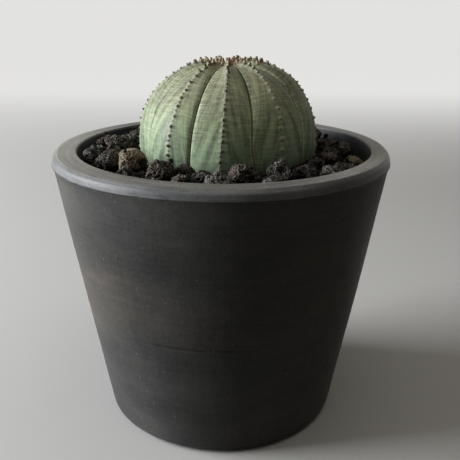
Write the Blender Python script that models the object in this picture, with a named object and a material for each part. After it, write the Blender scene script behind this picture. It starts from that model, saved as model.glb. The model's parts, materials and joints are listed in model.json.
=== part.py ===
"""Potted baseball plant, built as its separate pieces.

A turned dark clay pot holds a drain net, gritty potting mix, one round ribbed succulent with its
taproot, and a top dressing of loose lava stones. Units are metres, +Z is up, and the origin is the
centre of the pot's foot. The front faces -Y. A bearing is in degrees round an upright axis: 0 is
the front and +90 is towards +X.
"""

from bisect import bisect_left
from math import cos, exp, hypot, pi, radians, sin, sqrt
from random import Random

import bmesh
import bpy
from mathutils import Euler, Vector, noise
from mathutils.bvhtree import BVHTree

MM = 0.001
GAP = 0.3 * MM                    # air left between pieces that rest on each other

# Pot: a straight taper, a near-upright rim band, a narrow bevel and a broad, nearly flat rim top.
POT_SEGMENTS = 60
BAND_FOOT_RADIUS = 60.0 * MM      # the widest ring of the pot
BAND_FOOT_HEIGHT = 97.2 * MM
BAND_TOP_RADIUS = 59.5 * MM
BAND_TOP_HEIGHT = 99.1 * MM
SHOULDER_RADIUS = 58.2 * MM
SHOULDER_HEIGHT = 100.3 * MM
MOUTH_RADIUS = 52.2 * MM
MOUTH_HEIGHT = 100.5 * MM
MOUTH_OFFSET = 1.0 * MM           # the mouth of this hand-turned pot sits a little off centre, towards +X
FOOT_RADIUS = 42.8 * MM
FOOT_ROUNDING = 3.5 * MM
FLOOR_RADIUS = 36.5 * MM
FLOOR_HEIGHT = 8.0 * MM
FLOOR_ROUNDING = 4.0 * MM
RECESS_RADIUS = 34.0 * MM
RECESS_DEPTH = 1.5 * MM
BAND_FOOT_ROUNDING = 0.4 * MM
BAND_TOP_ROUNDING = 1.5 * MM
SHOULDER_ROUNDING = 0.4 * MM
MOUTH_ROUNDING = 0.5 * MM
DRAIN_RADIUS = 7.0 * MM

# Drain net: a thin plastic grille that keeps the mix off the drain hole.
NET_RADIUS = 15.0 * MM
NET_THICKNESS = 1.0 * MM
NET_PITCH = 6.4 * MM
NET_OPENING = 5.0 * MM
NET_ROWS = 3

# Plant: a squat ribbed globe that narrows below the mix into a taproot.
PLANT_CENTRE = Vector((2.4 * MM, 0.0, 0.0))
BODY_RADIUS = 31.5 * MM
BODY_MIDDLE = 102.0 * MM          # height of the widest ring
BODY_RISE = 28.6 * MM             # from the widest ring up to the crown
BODY_DROP = 24.0 * MM             # from the widest ring down to where the globe would close
BODY_SQUARENESS = 2.25
DIMPLE_DEPTH = 1.2 * MM
DIMPLE_RADIUS = 4.0 * MM
NECK_HEIGHT = 84.0 * MM
NECK_RADIUS = 9.5 * MM
ROOT_TIP_HEIGHT = 46.0 * MM
ROOT_TIP_RADIUS = 2.5 * MM
CREST_BEARINGS = (-3.5, 34.0, 78.0, 118.0, 159.0, 199.0, 240.0, 276.0, 322.5)
GROOVE_BEARINGS = (15.0, 57.5, 98.0, 138.5, 179.0, 219.5, 258.0, 297.0, 336.5)
CREST_TO_GROOVE = (0.0, 0.5, 0.88, 1.0)
GROOVE_DEPTH = 2.8 * MM
KEEL = 0.5                        # share of the groove's depth that falls evenly from the crest
GROOVE_SHARE_OF_RADIUS = 0.35     # the most that a groove takes near the crown
TWIST = 5.0                       # degrees that a rib turns from crown to mix
TUBERCLE_START = 1.8 * MM         # distance of the first tubercle from the crown's centre
TUBERCLE_PITCH_CROWN = 1.5 * MM
TUBERCLE_PITCH_SIDE = 3.0 * MM
TUBERCLE_RISE_CROWN = 1.1 * MM
TUBERCLE_RISE_SIDE = 0.5 * MM
TUBERCLE_SPREAD = 25.0 * MM       # distance over which pitch and rise change
TUBERCLE_END_HEIGHT = 97.0 * MM
ROOT_ROW_STEP = 4.5 * MM

# Potting mix: fills the pot round the root, higher at the plant than at the wall.
MIX_NECK_HEIGHT = 96.2 * MM
MIX_WALL_DROP = 4.4 * MM          # how far the surface falls from the plant to the wall
MIX_WALL_TILT = 1.2 * MM          # the right side lies lower and the left side higher by this
MIX_SHOULDER_RADIUS = 39.0 * MM
MIX_ROUGHNESS = 0.7 * MM
MIX_SURFACE_RINGS = 5
ROOT_CLEARANCE = 0.45 * MM

# Stones: loose lumps of lava, the ones that stand out first and then a fill by rule.
STONE_COUNT = 54
STONE_SEED = 12
DROP_HEIGHT = 106.0 * MM
DROP_STEP = 0.25 * MM
DRIFT_LIMIT = 2.0 * MM
REST_LIMIT = 102.0 * MM           # a stone that would come to rest higher is left out
FILL_REST_LIMIT = 100.2 * MM
FILL_TRIES = 900
FILL_DISTANCES = (35.0 * MM, 48.5 * MM)
FILL_SIZES = (2.7 * MM, 4.6 * MM)
FILL_SPACING = 0.88               # of two stones' radii added together
GOLDEN_ANGLE = 137.508

# Bearing, distance from the pot's axis (mm), half sizes across, deep and high (mm), tone, cragginess.
KEY_STONES = (
    (-49.5, 38.8, (5.3, 4.9, 4.2), "stone_tan", 0.14),
    (-99.0, 38.0, (5.6, 4.8, 3.5), "stone_brown", 0.22),
    (-124.0, 38.5, (3.8, 3.4, 3.0), "stone_black", 0.20),
    (-90.0, 45.0, (3.9, 2.9, 2.4), "stone_black", 0.20),
    (-80.0, 38.6, (3.0, 2.8, 2.4), "stone_brown", 0.20),
    (-78.0, 45.6, (3.5, 3.2, 2.9), "stone_black", 0.20),
    (-62.0, 43.0, (3.9, 3.7, 3.3), "stone_black", 0.22),
    (-42.0, 45.0, (3.5, 3.2, 2.7), "stone_black", 0.20),
    (-28.0, 41.4, (5.0, 4.4, 3.8), "stone_brown", 0.22),
    (-20.5, 36.9, (3.0, 2.6, 2.1), "stone_black", 0.24),
    (-15.0, 45.2, (3.7, 3.1, 2.7), "stone_brown", 0.20),
    (-9.5, 39.8, (2.9, 2.6, 2.4), "stone_black", 0.20),
    (-1.5, 45.0, (4.1, 3.6, 3.3), "stone_grey", 0.20),
    (8.5, 40.6, (4.1, 3.8, 3.8), "stone_brown", 0.24),
    (26.5, 41.6, (4.8, 4.3, 3.6), "stone_black", 0.24),
    (39.0, 42.6, (3.4, 3.0, 2.5), "stone_black", 0.22),
    (50.0, 46.2, (4.0, 3.4, 2.8), "stone_grey", 0.18),
    (54.0, 38.8, (2.8, 2.7, 2.3), "stone_black", 0.20),
    (80.0, 48.8, (3.8, 4.2, 2.4), "stone_tan", 0.14),
    (66.0, 39.6, (4.4, 3.4, 2.0), "stone_brown", 0.20),
    (95.0, 44.6, (3.8, 3.4, 2.4), "stone_black", 0.22),
    (112.0, 46.0, (3.0, 2.9, 2.6), "stone_brown", 0.20),
)
FILL_TONES = ("stone_black", "stone_brown", "stone_black", "stone_grey", "stone_black", "stone_brown")

# Material tones: base colour (linear), roughness.
TONES = {
    "clay": ((0.052, 0.050, 0.047), 0.62),
    "net_plastic": ((0.02, 0.02, 0.02), 0.50),
    "mix": ((0.030, 0.023, 0.018), 0.95),
    "plant_skin": ((0.190, 0.235, 0.150), 0.60),
    "stone_black": ((0.022, 0.019, 0.018), 0.88),
    "stone_brown": ((0.052, 0.040, 0.032), 0.90),
    "stone_grey": ((0.090, 0.085, 0.080), 0.85),
    "stone_tan": ((0.190, 0.140, 0.090), 0.85),
}


def smoothstep(value):
    """Ease from 0 to 1 with flat ends."""
    value = min(1.0, max(0.0, value))
    return value * value * (3.0 - 2.0 * value)


def mix(low, high, share):
    """Blend between two numbers or two vectors."""
    return low + (high - low) * share


def at_bearing(bearing, distance, height=0.0):
    """Point at a bearing and distance round the upright axis."""
    angle = radians(bearing)
    return Vector((distance * sin(angle), -distance * cos(angle), height))


def rounded(corners, arc_steps=3):
    """Outline through corners (radius, height, rounding), with each rounded corner as an arc."""
    outline = []
    for index, (radius, height, rounding) in enumerate(corners):
        here = Vector((radius, height))
        if rounding == 0.0:
            outline.append(here)
            continue
        before = Vector(corners[index - 1][:2])
        after = Vector(corners[(index + 1) % len(corners)][:2])
        to_before = (before - here).normalized()
        to_after = (after - here).normalized()
        half_angle = to_before.angle(to_after) / 2.0
        bisector = (to_before + to_after).normalized()
        centre = here + bisector * rounding / sin(half_angle)
        reach = rounding * cos(half_angle) / sin(half_angle)
        start = (here + to_before * reach - centre).normalized()
        end = (here + to_after * reach - centre).normalized()
        for step in range(arc_steps + 1):
            outline.append(centre + rounding * start.slerp(end, step / arc_steps))
    return outline


def material(tone):
    """Principled material of one tone, made once."""
    if tone in bpy.data.materials:
        return bpy.data.materials[tone]
    colour, roughness = TONES[tone]
    made = bpy.data.materials.new(tone)
    made.use_nodes = True
    shader = made.node_tree.nodes["Principled BSDF"]
    shader.inputs["Base Color"].default_value = (*colour, 1.0)
    shader.inputs["Roughness"].default_value = roughness
    shader.inputs["Metallic"].default_value = 0.0
    return made


def add_object(name, shape, tone, sharp_angle=40.0):
    """Turn a bmesh into a named object with smooth shading and its material."""
    mesh = bpy.data.meshes.new(name)
    shape.to_mesh(mesh)
    shape.free()
    mesh.shade_smooth()
    mesh.set_sharp_from_angle(angle=radians(sharp_angle))
    mesh.materials.append(material(tone))
    made = bpy.data.objects.new(name, mesh)
    bpy.context.collection.objects.link(made)
    return made


def tree_of(shape):
    """Search tree of a bmesh's faces, for touch tests."""
    return BVHTree.FromBMesh(shape)


def skin_rings(rings, start, end):
    """Closed skin over a stack of equal rings of points, with a single point at each end."""
    shape = bmesh.new()
    rows = [[shape.verts.new(point) for point in ring] for ring in rings]
    count = len(rows[0])
    for upper, lower in zip(rows, rows[1:]):
        for i in range(count):
            shape.faces.new((upper[i], upper[(i + 1) % count], lower[(i + 1) % count], lower[i]))
    for row, tip in ((rows[0], shape.verts.new(start)), (rows[-1], shape.verts.new(end))):
        for i in range(count):
            shape.faces.new((row[i], row[(i + 1) % count], tip))
    bmesh.ops.recalc_face_normals(shape, faces=shape.faces)
    return shape


# ---- Pot ----

def inner_radius(height):
    """Radius of the pot's inner wall at a height."""
    share = (height - FLOOR_HEIGHT) / (MOUTH_HEIGHT - FLOOR_HEIGHT)
    return mix(FLOOR_RADIUS, MOUTH_RADIUS, share)


def wall_centre(height):
    """Where the inner wall's axis stands at a height: true at the floor, off centre at the mouth."""
    share = (height - FLOOR_HEIGHT) / (MOUTH_HEIGHT - FLOOR_HEIGHT)
    return Vector((MOUTH_OFFSET * share, 0.0, 0.0))


def pot_shape():
    """The pot's closed profile, spun once round: foot, wall, rim, inside and drain hole."""
    outline = rounded((
        (DRAIN_RADIUS, RECESS_DEPTH, 0.0),
        (RECESS_RADIUS, RECESS_DEPTH, 0.0),
        (RECESS_RADIUS + RECESS_DEPTH, 0.0, 0.0),
        (FOOT_RADIUS, 0.0, FOOT_ROUNDING),
        (BAND_FOOT_RADIUS, BAND_FOOT_HEIGHT, BAND_FOOT_ROUNDING),
        (BAND_TOP_RADIUS, BAND_TOP_HEIGHT, BAND_TOP_ROUNDING),
        (SHOULDER_RADIUS, SHOULDER_HEIGHT, SHOULDER_ROUNDING),
        (MOUTH_RADIUS, MOUTH_HEIGHT, MOUTH_ROUNDING),
        (FLOOR_RADIUS, FLOOR_HEIGHT, FLOOR_ROUNDING),
        (DRAIN_RADIUS, FLOOR_HEIGHT, 0.0),
    ))
    shape = bmesh.new()
    verts = [shape.verts.new((radius, 0.0, height)) for radius, height in outline]
    edges = [shape.edges.new((a, b)) for a, b in zip(verts, verts[1:] + verts[:1])]
    bmesh.ops.spin(
        shape, geom=edges, cent=(0.0, 0.0, 0.0), axis=(0.0, 0.0, 1.0), angle=2.0 * pi,
        steps=POT_SEGMENTS, use_merge=True,
    )
    for vert in shape.verts:
        if vert.co.z > MOUTH_HEIGHT / 2.0 and vert.co.xy.length < (MOUTH_RADIUS + SHOULDER_RADIUS) / 2.0:
            vert.co += wall_centre(vert.co.z)
    bmesh.ops.recalc_face_normals(shape, faces=shape.faces)
    return shape


# ---- Drain net ----

def net_cutter():
    """Square pegs on a grid, kept inside the net's edge, that cut its openings."""
    shape = bmesh.new()
    middle = (NET_ROWS - 1) / 2.0
    for row in range(NET_ROWS):
        for column in range(NET_ROWS):
            x = (column - middle) * NET_PITCH
            y = (row - middle) * NET_PITCH
            if hypot(abs(x) + NET_OPENING / 2.0, abs(y) + NET_OPENING / 2.0) > NET_RADIUS - NET_THICKNESS:
                continue
            peg = bmesh.ops.create_cube(shape, size=NET_OPENING)
            bmesh.ops.translate(shape, verts=peg["verts"], vec=(x, y, FLOOR_HEIGHT))
    cutter = add_object("net_openings", shape, "net_plastic")
    cutter.hide_render = True
    cutter.display_type = "WIRE"
    return cutter


def add_drain_net():
    """A round grille lying on the pot's floor over the drain hole."""
    shape = bmesh.new()
    bmesh.ops.create_cone(
        shape, cap_ends=True, segments=32, radius1=NET_RADIUS, radius2=NET_RADIUS, depth=NET_THICKNESS,
    )
    height = FLOOR_HEIGHT + GAP + NET_THICKNESS / 2.0
    bmesh.ops.translate(shape, verts=shape.verts, vec=(0.0, 0.0, height))
    net = add_object("drain_net", shape, "net_plastic")
    openings = net.modifiers.new("openings", "BOOLEAN")
    openings.operation = "DIFFERENCE"
    openings.solver = "EXACT"
    openings.object = net_cutter()


# ---- Plant ----

def globe_point(angle):
    """Radius and height on the globe's upper half, angle 0 at the crown and pi/2 at the middle."""
    power = 2.0 / BODY_SQUARENESS
    radius = BODY_RADIUS * sin(angle) ** power
    height = BODY_MIDDLE + BODY_RISE * max(0.0, cos(angle)) ** power
    return radius, height - DIMPLE_DEPTH * exp(-((radius / DIMPLE_RADIUS) ** 2))


def lower_radius(height):
    """Radius below the middle: the globe closing in, joined smoothly to the taproot."""
    drop = (BODY_MIDDLE - height) / BODY_DROP
    globe = BODY_RADIUS * sqrt(max(0.0, 1.0 - drop * drop))
    down_root = (NECK_HEIGHT - height) / (NECK_HEIGHT - ROOT_TIP_HEIGHT)
    root = mix(NECK_RADIUS, ROOT_TIP_RADIUS, min(1.0, down_root))
    root *= smoothstep((BODY_MIDDLE - height) / (BODY_MIDDLE - NECK_HEIGHT))
    root *= sqrt(min(1.0, max(0.0, height - ROOT_TIP_HEIGHT) / ROOT_TIP_RADIUS))
    return (globe ** 4 + root ** 4) ** 0.25


class Meridian:
    """The line down a rib's crest from the crown to the root's tip, read by its length."""

    STEPS = 400

    def __init__(self):
        top = [globe_point(pi / 2.0 * step / self.STEPS) for step in range(self.STEPS)]
        heights = [mix(BODY_MIDDLE, ROOT_TIP_HEIGHT, step / self.STEPS) for step in range(self.STEPS + 1)]
        self.points = [Vector(point) for point in top]
        self.points += [Vector((lower_radius(height), height)) for height in heights]
        self.lengths = [0.0]
        for before, after in zip(self.points, self.points[1:]):
            self.lengths.append(self.lengths[-1] + (after - before).length)

    def at(self, length):
        """Point and outward normal, as (radius, height) vectors, at a length from the crown."""
        index = min(max(1, bisect_left(self.lengths, length)), len(self.points) - 1)
        before, after = self.points[index - 1], self.points[index]
        share = (length - self.lengths[index - 1]) / (self.lengths[index] - self.lengths[index - 1])
        along = (after - before).normalized()
        return mix(before, after, share), Vector((-along.y, along.x))


def tubercle_easing(length):
    """How far the tubercles have changed from crown size to side size."""
    return smoothstep(length / TUBERCLE_SPREAD)


def plant_rows(line):
    """Length and tubercle rise of each row of points down the plant."""
    rows = []
    length = TUBERCLE_START
    while line.at(length)[0].y > TUBERCLE_END_HEIGHT:
        easing = tubercle_easing(length)
        pitch = mix(TUBERCLE_PITCH_CROWN, TUBERCLE_PITCH_SIDE, easing)
        rows.append((length, mix(TUBERCLE_RISE_CROWN, TUBERCLE_RISE_SIDE, easing)))
        rows.append((length + pitch / 2.0, 0.0))
        length += pitch
    while length < line.lengths[-1] - ROOT_TIP_RADIUS:
        rows.append((length, 0.0))
        length += ROOT_ROW_STEP
    return rows


def rib_columns():
    """Bearing and crest-to-groove share of each column of points round the plant."""
    columns = []
    for index, crest in enumerate(CREST_BEARINGS):
        groove_before = GROOVE_BEARINGS[index - 1] - (360.0 if index == 0 else 0.0)
        groove_after = GROOVE_BEARINGS[index]
        for share in reversed(CREST_TO_GROOVE[1:-1]):
            columns.append((mix(crest, groove_before, share), share))
        for share in CREST_TO_GROOVE:
            columns.append((mix(crest, groove_after, share), share))
    return columns


def groove_share(share):
    """How deep the skin lies between crest (0) and groove (1): a keeled crest and a sharp crease."""
    return mix(share ** 6, share, KEEL)


def ribbing(height):
    """Strength of the ribs at a height: full on the globe, gone on the root."""
    return smoothstep((height - NECK_HEIGHT + 6.0 * MM) / (14.0 * MM))


def plant_ring(line, length, rise, clearance=0.0):
    """One ring of points round the plant, or round the hollow that it leaves in the mix."""
    (radius, height), normal = line.at(length)
    twist = TWIST * (height - BODY_MIDDLE) / (BODY_RISE + BODY_DROP)
    depth = min(GROOVE_DEPTH, GROOVE_SHARE_OF_RADIUS * radius) * ribbing(height)
    ring = []
    for bearing, share in rib_columns():
        offset = clearance - depth * groove_share(share) + (rise if share == 0.0 else 0.0)
        out = radius + normal.x * offset
        up = height + normal.y * offset
        ring.append(PLANT_CENTRE + at_bearing(bearing + twist, out, up))
    return ring


def plant_shape(line):
    """The whole plant in one skin, from the dimpled crown down to the root's tip."""
    rings = [plant_ring(line, length, rise) for length, rise in plant_rows(line)]
    crown = PLANT_CENTRE + Vector((0.0, 0.0, line.points[0].y))
    tip = PLANT_CENTRE + Vector((0.0, 0.0, ROOT_TIP_HEIGHT))
    return skin_rings(rings, crown, tip)


# ---- Potting mix ----

def mix_height(x, y):
    """Height of the mix's surface: a mound at the plant, lower at the wall and on the right."""
    distance = hypot(x, y)
    edge = inner_radius(MIX_NECK_HEIGHT)
    fall = smoothstep((distance - MIX_SHOULDER_RADIUS) / (edge - MIX_SHOULDER_RADIUS))
    tilt = MIX_WALL_TILT * x / edge
    grain = MIX_ROUGHNESS * noise.noise(Vector((x, y, 0.0)) / (4.0 * MM))
    return MIX_NECK_HEIGHT - (MIX_WALL_DROP + tilt) * fall + grain


def wall_ring(hollow, radius, height):
    """Level ring at a radius about the inner wall's axis, on the bearings of the hollow's columns."""
    ring = []
    for point in hollow:
        side = Vector((point.x - PLANT_CENTRE.x, point.y - PLANT_CENTRE.y, 0.0)).normalized()
        ring.append(side * radius + wall_centre(height) + Vector((0.0, 0.0, height)))
    return ring


def mix_shape(line):
    """The mix: a hollow for the plant's lower body, an uneven surface, and a dent over the net."""
    rows = [length for length, _ in plant_rows(line) if line.at(length)[0].y < MIX_NECK_HEIGHT]
    hollow = [plant_ring(line, length, 0.0, ROOT_CLEARANCE) for length in reversed(rows)]
    lip = hollow[-1]
    wall_height = MIX_NECK_HEIGHT - MIX_WALL_DROP
    edge = wall_ring(lip, inner_radius(wall_height) - GAP, wall_height)
    surface = []
    for step in range(1, MIX_SURFACE_RINGS + 1):
        ring = [mix(inner, outer, step / MIX_SURFACE_RINGS) for inner, outer in zip(lip, edge)]
        surface.append([Vector((p.x, p.y, mix_height(p.x, p.y))) for p in ring])
    floor = FLOOR_HEIGHT + GAP
    shoulder = floor + FLOOR_ROUNDING
    roof = FLOOR_HEIGHT + NET_THICKNESS + 3.0 * GAP
    sides = [
        wall_ring(lip, inner_radius(shoulder) - GAP, shoulder),
        wall_ring(lip, FLOOR_RADIUS - FLOOR_ROUNDING, floor),
        wall_ring(lip, NET_RADIUS + 2.0 * GAP, floor),
        wall_ring(lip, NET_RADIUS + 2.0 * GAP, roof),
    ]
    tip = PLANT_CENTRE + Vector((0.0, 0.0, ROOT_TIP_HEIGHT - ROOT_CLEARANCE))
    return skin_rings(hollow + surface + sides, tip, Vector((0.0, 0.0, roof)))


# ---- Stones ----

def stone_shape(half_sizes, cragginess, seed):
    """A broken lump: a faceted ball, chipped by planes, roughened, stretched and turned."""
    random = Random(seed)
    shape = bmesh.new()
    bmesh.ops.create_icosphere(shape, subdivisions=2, radius=1.0)
    chips = []
    for _ in range(6):
        facing = Vector([random.gauss(0.0, 1.0) for _ in range(3)]).normalized()
        chips.append((facing, random.uniform(0.72, 0.92)))
    place = Vector([random.uniform(-50.0, 50.0) for _ in range(3)])
    for vert in shape.verts:
        point = vert.co.copy()
        for facing, reach in chips:
            beyond = point.dot(facing) - reach
            if beyond > 0.0:
                point -= facing * beyond * 0.8
        swell = noise.noise(vert.co * 1.6 + place) + 0.5 * noise.noise(vert.co * 3.6 + place)
        vert.co = point * (1.0 + cragginess * swell)
    bmesh.ops.scale(shape, verts=shape.verts, vec=half_sizes)
    turn = Euler((random.uniform(-0.3, 0.3), random.uniform(-0.3, 0.3), random.uniform(-0.6, 0.6)))
    bmesh.ops.rotate(shape, verts=shape.verts, cent=(0.0, 0.0, 0.0), matrix=turn.to_matrix())
    return shape


class Loose:
    """A stone that has not yet come to rest, tested with a slightly grown copy of its shape."""

    def __init__(self, shape, half_sizes):
        grow = 1.0 + 1.4 * GAP / min(half_sizes)
        shape.verts.ensure_lookup_table()
        self.points = [vert.co * grow for vert in shape.verts]
        self.faces = [[vert.index for vert in face.verts] for face in shape.faces]

    def touches(self, centre, others):
        """True where the grown copy, moved to a centre, meets anything already in place."""
        tree = BVHTree.FromPolygons([point + centre for point in self.points], self.faces)
        return any(tree.overlap(other) for other in others)

    def reach(self, centre):
        """Farthest that the copy reaches from the axis of the mouth."""
        centre = centre - wall_centre(MOUTH_HEIGHT)
        return max(hypot(centre.x + point.x, centre.y + point.y) for point in self.points)

    def fall(self, centre, others):
        """Lowest free place straight below a centre."""
        step = Vector((0.0, 0.0, DROP_STEP))
        while not self.touches(centre - step, others):
            centre = centre - step
        return centre

    def settle(self, bearing, distance, others, rest_limit):
        """Place inside the mouth and clear of the globe, then fall and slide to a lower rest."""
        mouth = inner_radius(MIX_NECK_HEIGHT - MIX_WALL_DROP) - GAP
        centre = at_bearing(bearing, distance, DROP_HEIGHT)
        while self.reach(centre) > mouth:
            distance -= DROP_STEP
            centre = at_bearing(bearing, distance, DROP_HEIGHT)
        side = at_bearing(bearing, DROP_STEP)
        while self.touches(centre, others) and self.reach(centre + side) < mouth:
            centre += side
        if self.touches(centre, others):
            return None
        start = centre
        centre = self.fall(centre, others)
        for turn in range(24):
            nudge = at_bearing(turn * GOLDEN_ANGLE, 2.0 * DROP_STEP)
            moved = centre + nudge
            too_far = (moved - start).xy.length > DRIFT_LIMIT or self.reach(moved) > mouth
            if too_far or self.touches(moved, others):
                continue
            moved = self.fall(moved, others)
            if moved.z < centre.z - DROP_STEP:
                centre = moved
        return centre if centre.z < rest_limit else None


def fill_plan(random):
    """Places to try for the filling stones, spread evenly round the plant."""
    for turn in range(1, FILL_TRIES):
        distance = random.uniform(*FILL_DISTANCES)
        size = random.uniform(*FILL_SIZES)
        halves = (size, size * random.uniform(0.75, 0.95), size * random.uniform(0.68, 0.85))
        yield turn * GOLDEN_ANGLE, distance, halves, FILL_TONES[turn % len(FILL_TONES)], 0.20


def crowded(bearing, distance, half_sizes, placed):
    """True where a stone's place is already taken by its neighbours."""
    here = at_bearing(bearing, distance)
    for centre, radius in placed:
        if (centre.xy - here.xy).length < FILL_SPACING * (half_sizes[0] + radius):
            return True
    return False


def add_stones(obstacles):
    """Lay the key stones, then fill the gaps until the dressing is full."""
    placed = []
    others = list(obstacles)

    def lay(bearing, distance, half_sizes, tone, cragginess, rest_limit):
        number = len(placed) + 1
        shape = stone_shape(half_sizes, cragginess, STONE_SEED + number)
        rest = Loose(shape, half_sizes).settle(bearing, distance, others, rest_limit)
        if rest is None:
            shape.free()
            return
        bmesh.ops.translate(shape, verts=shape.verts, vec=rest)
        others.append(tree_of(shape))
        placed.append((rest, half_sizes[0]))
        add_object(f"stone_{number:02d}", shape, tone)

    for bearing, distance, halves, tone, cragginess in KEY_STONES:
        lay(bearing, distance * MM, [half * MM for half in halves], tone, cragginess, REST_LIMIT)
    for bearing, distance, halves, tone, cragginess in fill_plan(Random(STONE_SEED)):
        if len(placed) == STONE_COUNT:
            break
        if not crowded(bearing, distance, halves, placed):
            lay(bearing, distance, halves, tone, cragginess, FILL_REST_LIMIT)


def main():
    """Clear the scene and build every piece."""
    for old in list(bpy.data.objects):
        bpy.data.objects.remove(old)
    line = Meridian()
    shapes = {"pot": pot_shape(), "potting_mix": mix_shape(line), "plant": plant_shape(line)}
    obstacles = [tree_of(shape) for shape in shapes.values()]
    add_object("pot", shapes["pot"], "clay")
    add_object("potting_mix", shapes["potting_mix"], "mix")
    add_object("plant", shapes["plant"], "plant_skin")
    add_drain_net()
    add_stones(obstacles)


main()
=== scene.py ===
"""Finished look of a potted baseball plant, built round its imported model.

Each operator dresses one piece or one group of like pieces: the clay pot, the drain net, the
potting mix, the plant, its tubercles, the lava stones and the grit between them. The last one
sets a plain stage. Units are metres, +Z is up, and the front faces -Y. A bearing is in degrees
round an upright axis: 0 is the front and +90 is towards +X.
"""

import json
from bisect import bisect_left
from math import atan2, cos, exp, hypot, pi, radians, sin, sqrt
from random import Random

import bmesh
import bpy
from bpy.props import FloatProperty, FloatVectorProperty, IntProperty, PointerProperty
from mathutils import Euler, Matrix, Vector, noise
from mathutils.bvhtree import BVHTree


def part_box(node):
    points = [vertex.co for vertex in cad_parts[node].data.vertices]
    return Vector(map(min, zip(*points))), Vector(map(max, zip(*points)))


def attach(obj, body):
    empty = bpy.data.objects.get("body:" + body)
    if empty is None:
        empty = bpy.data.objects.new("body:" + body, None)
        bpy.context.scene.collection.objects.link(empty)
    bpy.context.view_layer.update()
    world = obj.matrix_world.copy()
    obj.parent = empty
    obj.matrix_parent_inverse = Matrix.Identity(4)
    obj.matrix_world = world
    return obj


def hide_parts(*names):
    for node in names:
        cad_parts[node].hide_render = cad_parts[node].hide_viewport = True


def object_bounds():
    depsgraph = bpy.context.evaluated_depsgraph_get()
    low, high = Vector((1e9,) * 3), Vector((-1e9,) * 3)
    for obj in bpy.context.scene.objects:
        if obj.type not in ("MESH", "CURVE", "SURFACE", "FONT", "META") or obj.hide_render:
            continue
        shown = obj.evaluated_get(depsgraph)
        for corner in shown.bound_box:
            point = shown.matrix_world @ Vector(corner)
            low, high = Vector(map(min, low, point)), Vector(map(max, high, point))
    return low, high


bl_info = {
    "name": "Potted baseball plant",
    "version": (1, 0, 0),
    "blender": (4, 5, 0),
    "location": "3D View > Sidebar > Potted plant",
    "description": "Clay pot, ribbed plant, lava stones and grit, with a plain stage",
    "category": "Add Mesh",
}

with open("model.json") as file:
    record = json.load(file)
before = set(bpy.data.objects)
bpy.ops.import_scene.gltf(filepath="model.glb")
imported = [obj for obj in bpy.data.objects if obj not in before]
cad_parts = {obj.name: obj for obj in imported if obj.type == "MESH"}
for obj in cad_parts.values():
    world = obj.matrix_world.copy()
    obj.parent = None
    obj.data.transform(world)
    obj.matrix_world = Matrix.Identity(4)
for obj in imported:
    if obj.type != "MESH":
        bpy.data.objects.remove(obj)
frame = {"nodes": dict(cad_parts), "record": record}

MM = 0.001
BODY = "root"
CAD_LOW, CAD_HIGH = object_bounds()
ROOT_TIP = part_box("plant")[0].z

# Pot, from the axis outwards.
RIM_RADIUS = 60.0 * MM
BAND_FOOT = 97.2 * MM
BAND_TOP_RADIUS = 59.5 * MM
BAND_TOP = 99.1 * MM
SHOULDER_RADIUS = 58.2 * MM
SHOULDER_TOP = 100.3 * MM
MOUTH_RADIUS = 52.2 * MM
MOUTH_TOP = 100.5 * MM
MOUTH_OFFSET = 1.0 * MM
FOOT_RADIUS = 42.8 * MM
FLOOR_RADIUS = 36.5 * MM
FLOOR_TOP = 8.0 * MM
RECESS_RADIUS = 34.0 * MM
RECESS_DEPTH = 1.5 * MM
DRAIN_RADIUS = 7.0 * MM
LONG_RUN = 30.0 * MM
BROAD_RUN = 3.0 * MM
POT_SHARP_ANGLE = radians(50.0)
# The long thin mark of a tool: its middle, its half length and its height on the wall.
MARK_BEARING = radians(-7.5)
MARK_REACH = radians(23.0)
MARK_HEIGHT = 44.5 * MM
# Heights on the wall between which its warm clouds fade in and out.
WARM_RISE = (36.0 * MM, 50.0 * MM)
WARM_FALL = (66.0 * MM, 90.0 * MM)

# Plant: the same globe, ribs and taproot as its solid, with more points.
PLANT_CENTRE = Vector((2.4 * MM, 0.0, 0.0))
GLOBE_RADIUS = 31.5 * MM
GLOBE_MIDDLE = 102.0 * MM
GLOBE_RISE = 28.6 * MM
GLOBE_DROP = 24.0 * MM
SQUARENESS = 2.25
DIMPLE_DEPTH = 2.3 * MM
DIMPLE_RADIUS = 6.0 * MM
NECK_HEIGHT = 84.0 * MM
NECK_RADIUS = 9.5 * MM
ROOT_TIP_RADIUS = 2.5 * MM
BURIED_HEIGHT = 93.0 * MM
# Each rib's crest and the groove after it, and how far that groove leans round near the mix.
CREST_BEARINGS = (-3.5, 34.0, 78.0, 118.0, 159.0, 199.0, 240.0, 276.0, 322.5)
GROOVE_BEARINGS = (15.0, 57.5, 98.0, 138.5, 179.0, 219.5, 258.0, 297.0, 336.5)
FOOT_LEANS = (4.5, 2.0, 0.0, 0.0, 0.0, 0.0, 0.0, 0.0, 0.0)
HALF_RIB = pi / len(CREST_BEARINGS)
TWIST = 0.144 / MM
TWIST_MIDDLE = 114.0 * MM
# Shares of a groove's depth in the even fall from the crest and in the sharp crease.
KEEL_SHARE = 0.55
CREASE_SHARE = 0.42
CREASE_SHARPNESS = 20
DEEPEST_SHARE = 0.35    # the most of the globe's radius that a groove takes near the crown
# Where the globe swells most beyond its even shape.
FULL_SIDE_BEARING = 110.0
FULL_SIDE_HEIGHT = 124.5 * MM
FULL_SIDE_BREADTH = 5.5 * MM
FULL_SIDE_SWELL = 1.3 * MM
# How dark the old tubercles are on each rib.
EYE_STRENGTH = (1.0, 0.25, 0.6, 1.0, 1.0, 1.0, 1.0, 1.0, 1.0)
# Healed scratches: rib, signed share of the rib at both ends, height and sag in mm.
SCRATCHES = ((0, 0.02, 0.46, 109.6, 1.2), (0, -0.80, -0.35, 111.4, 0.7), (1, -0.90, -0.30, 106.6, 0.5))
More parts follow.
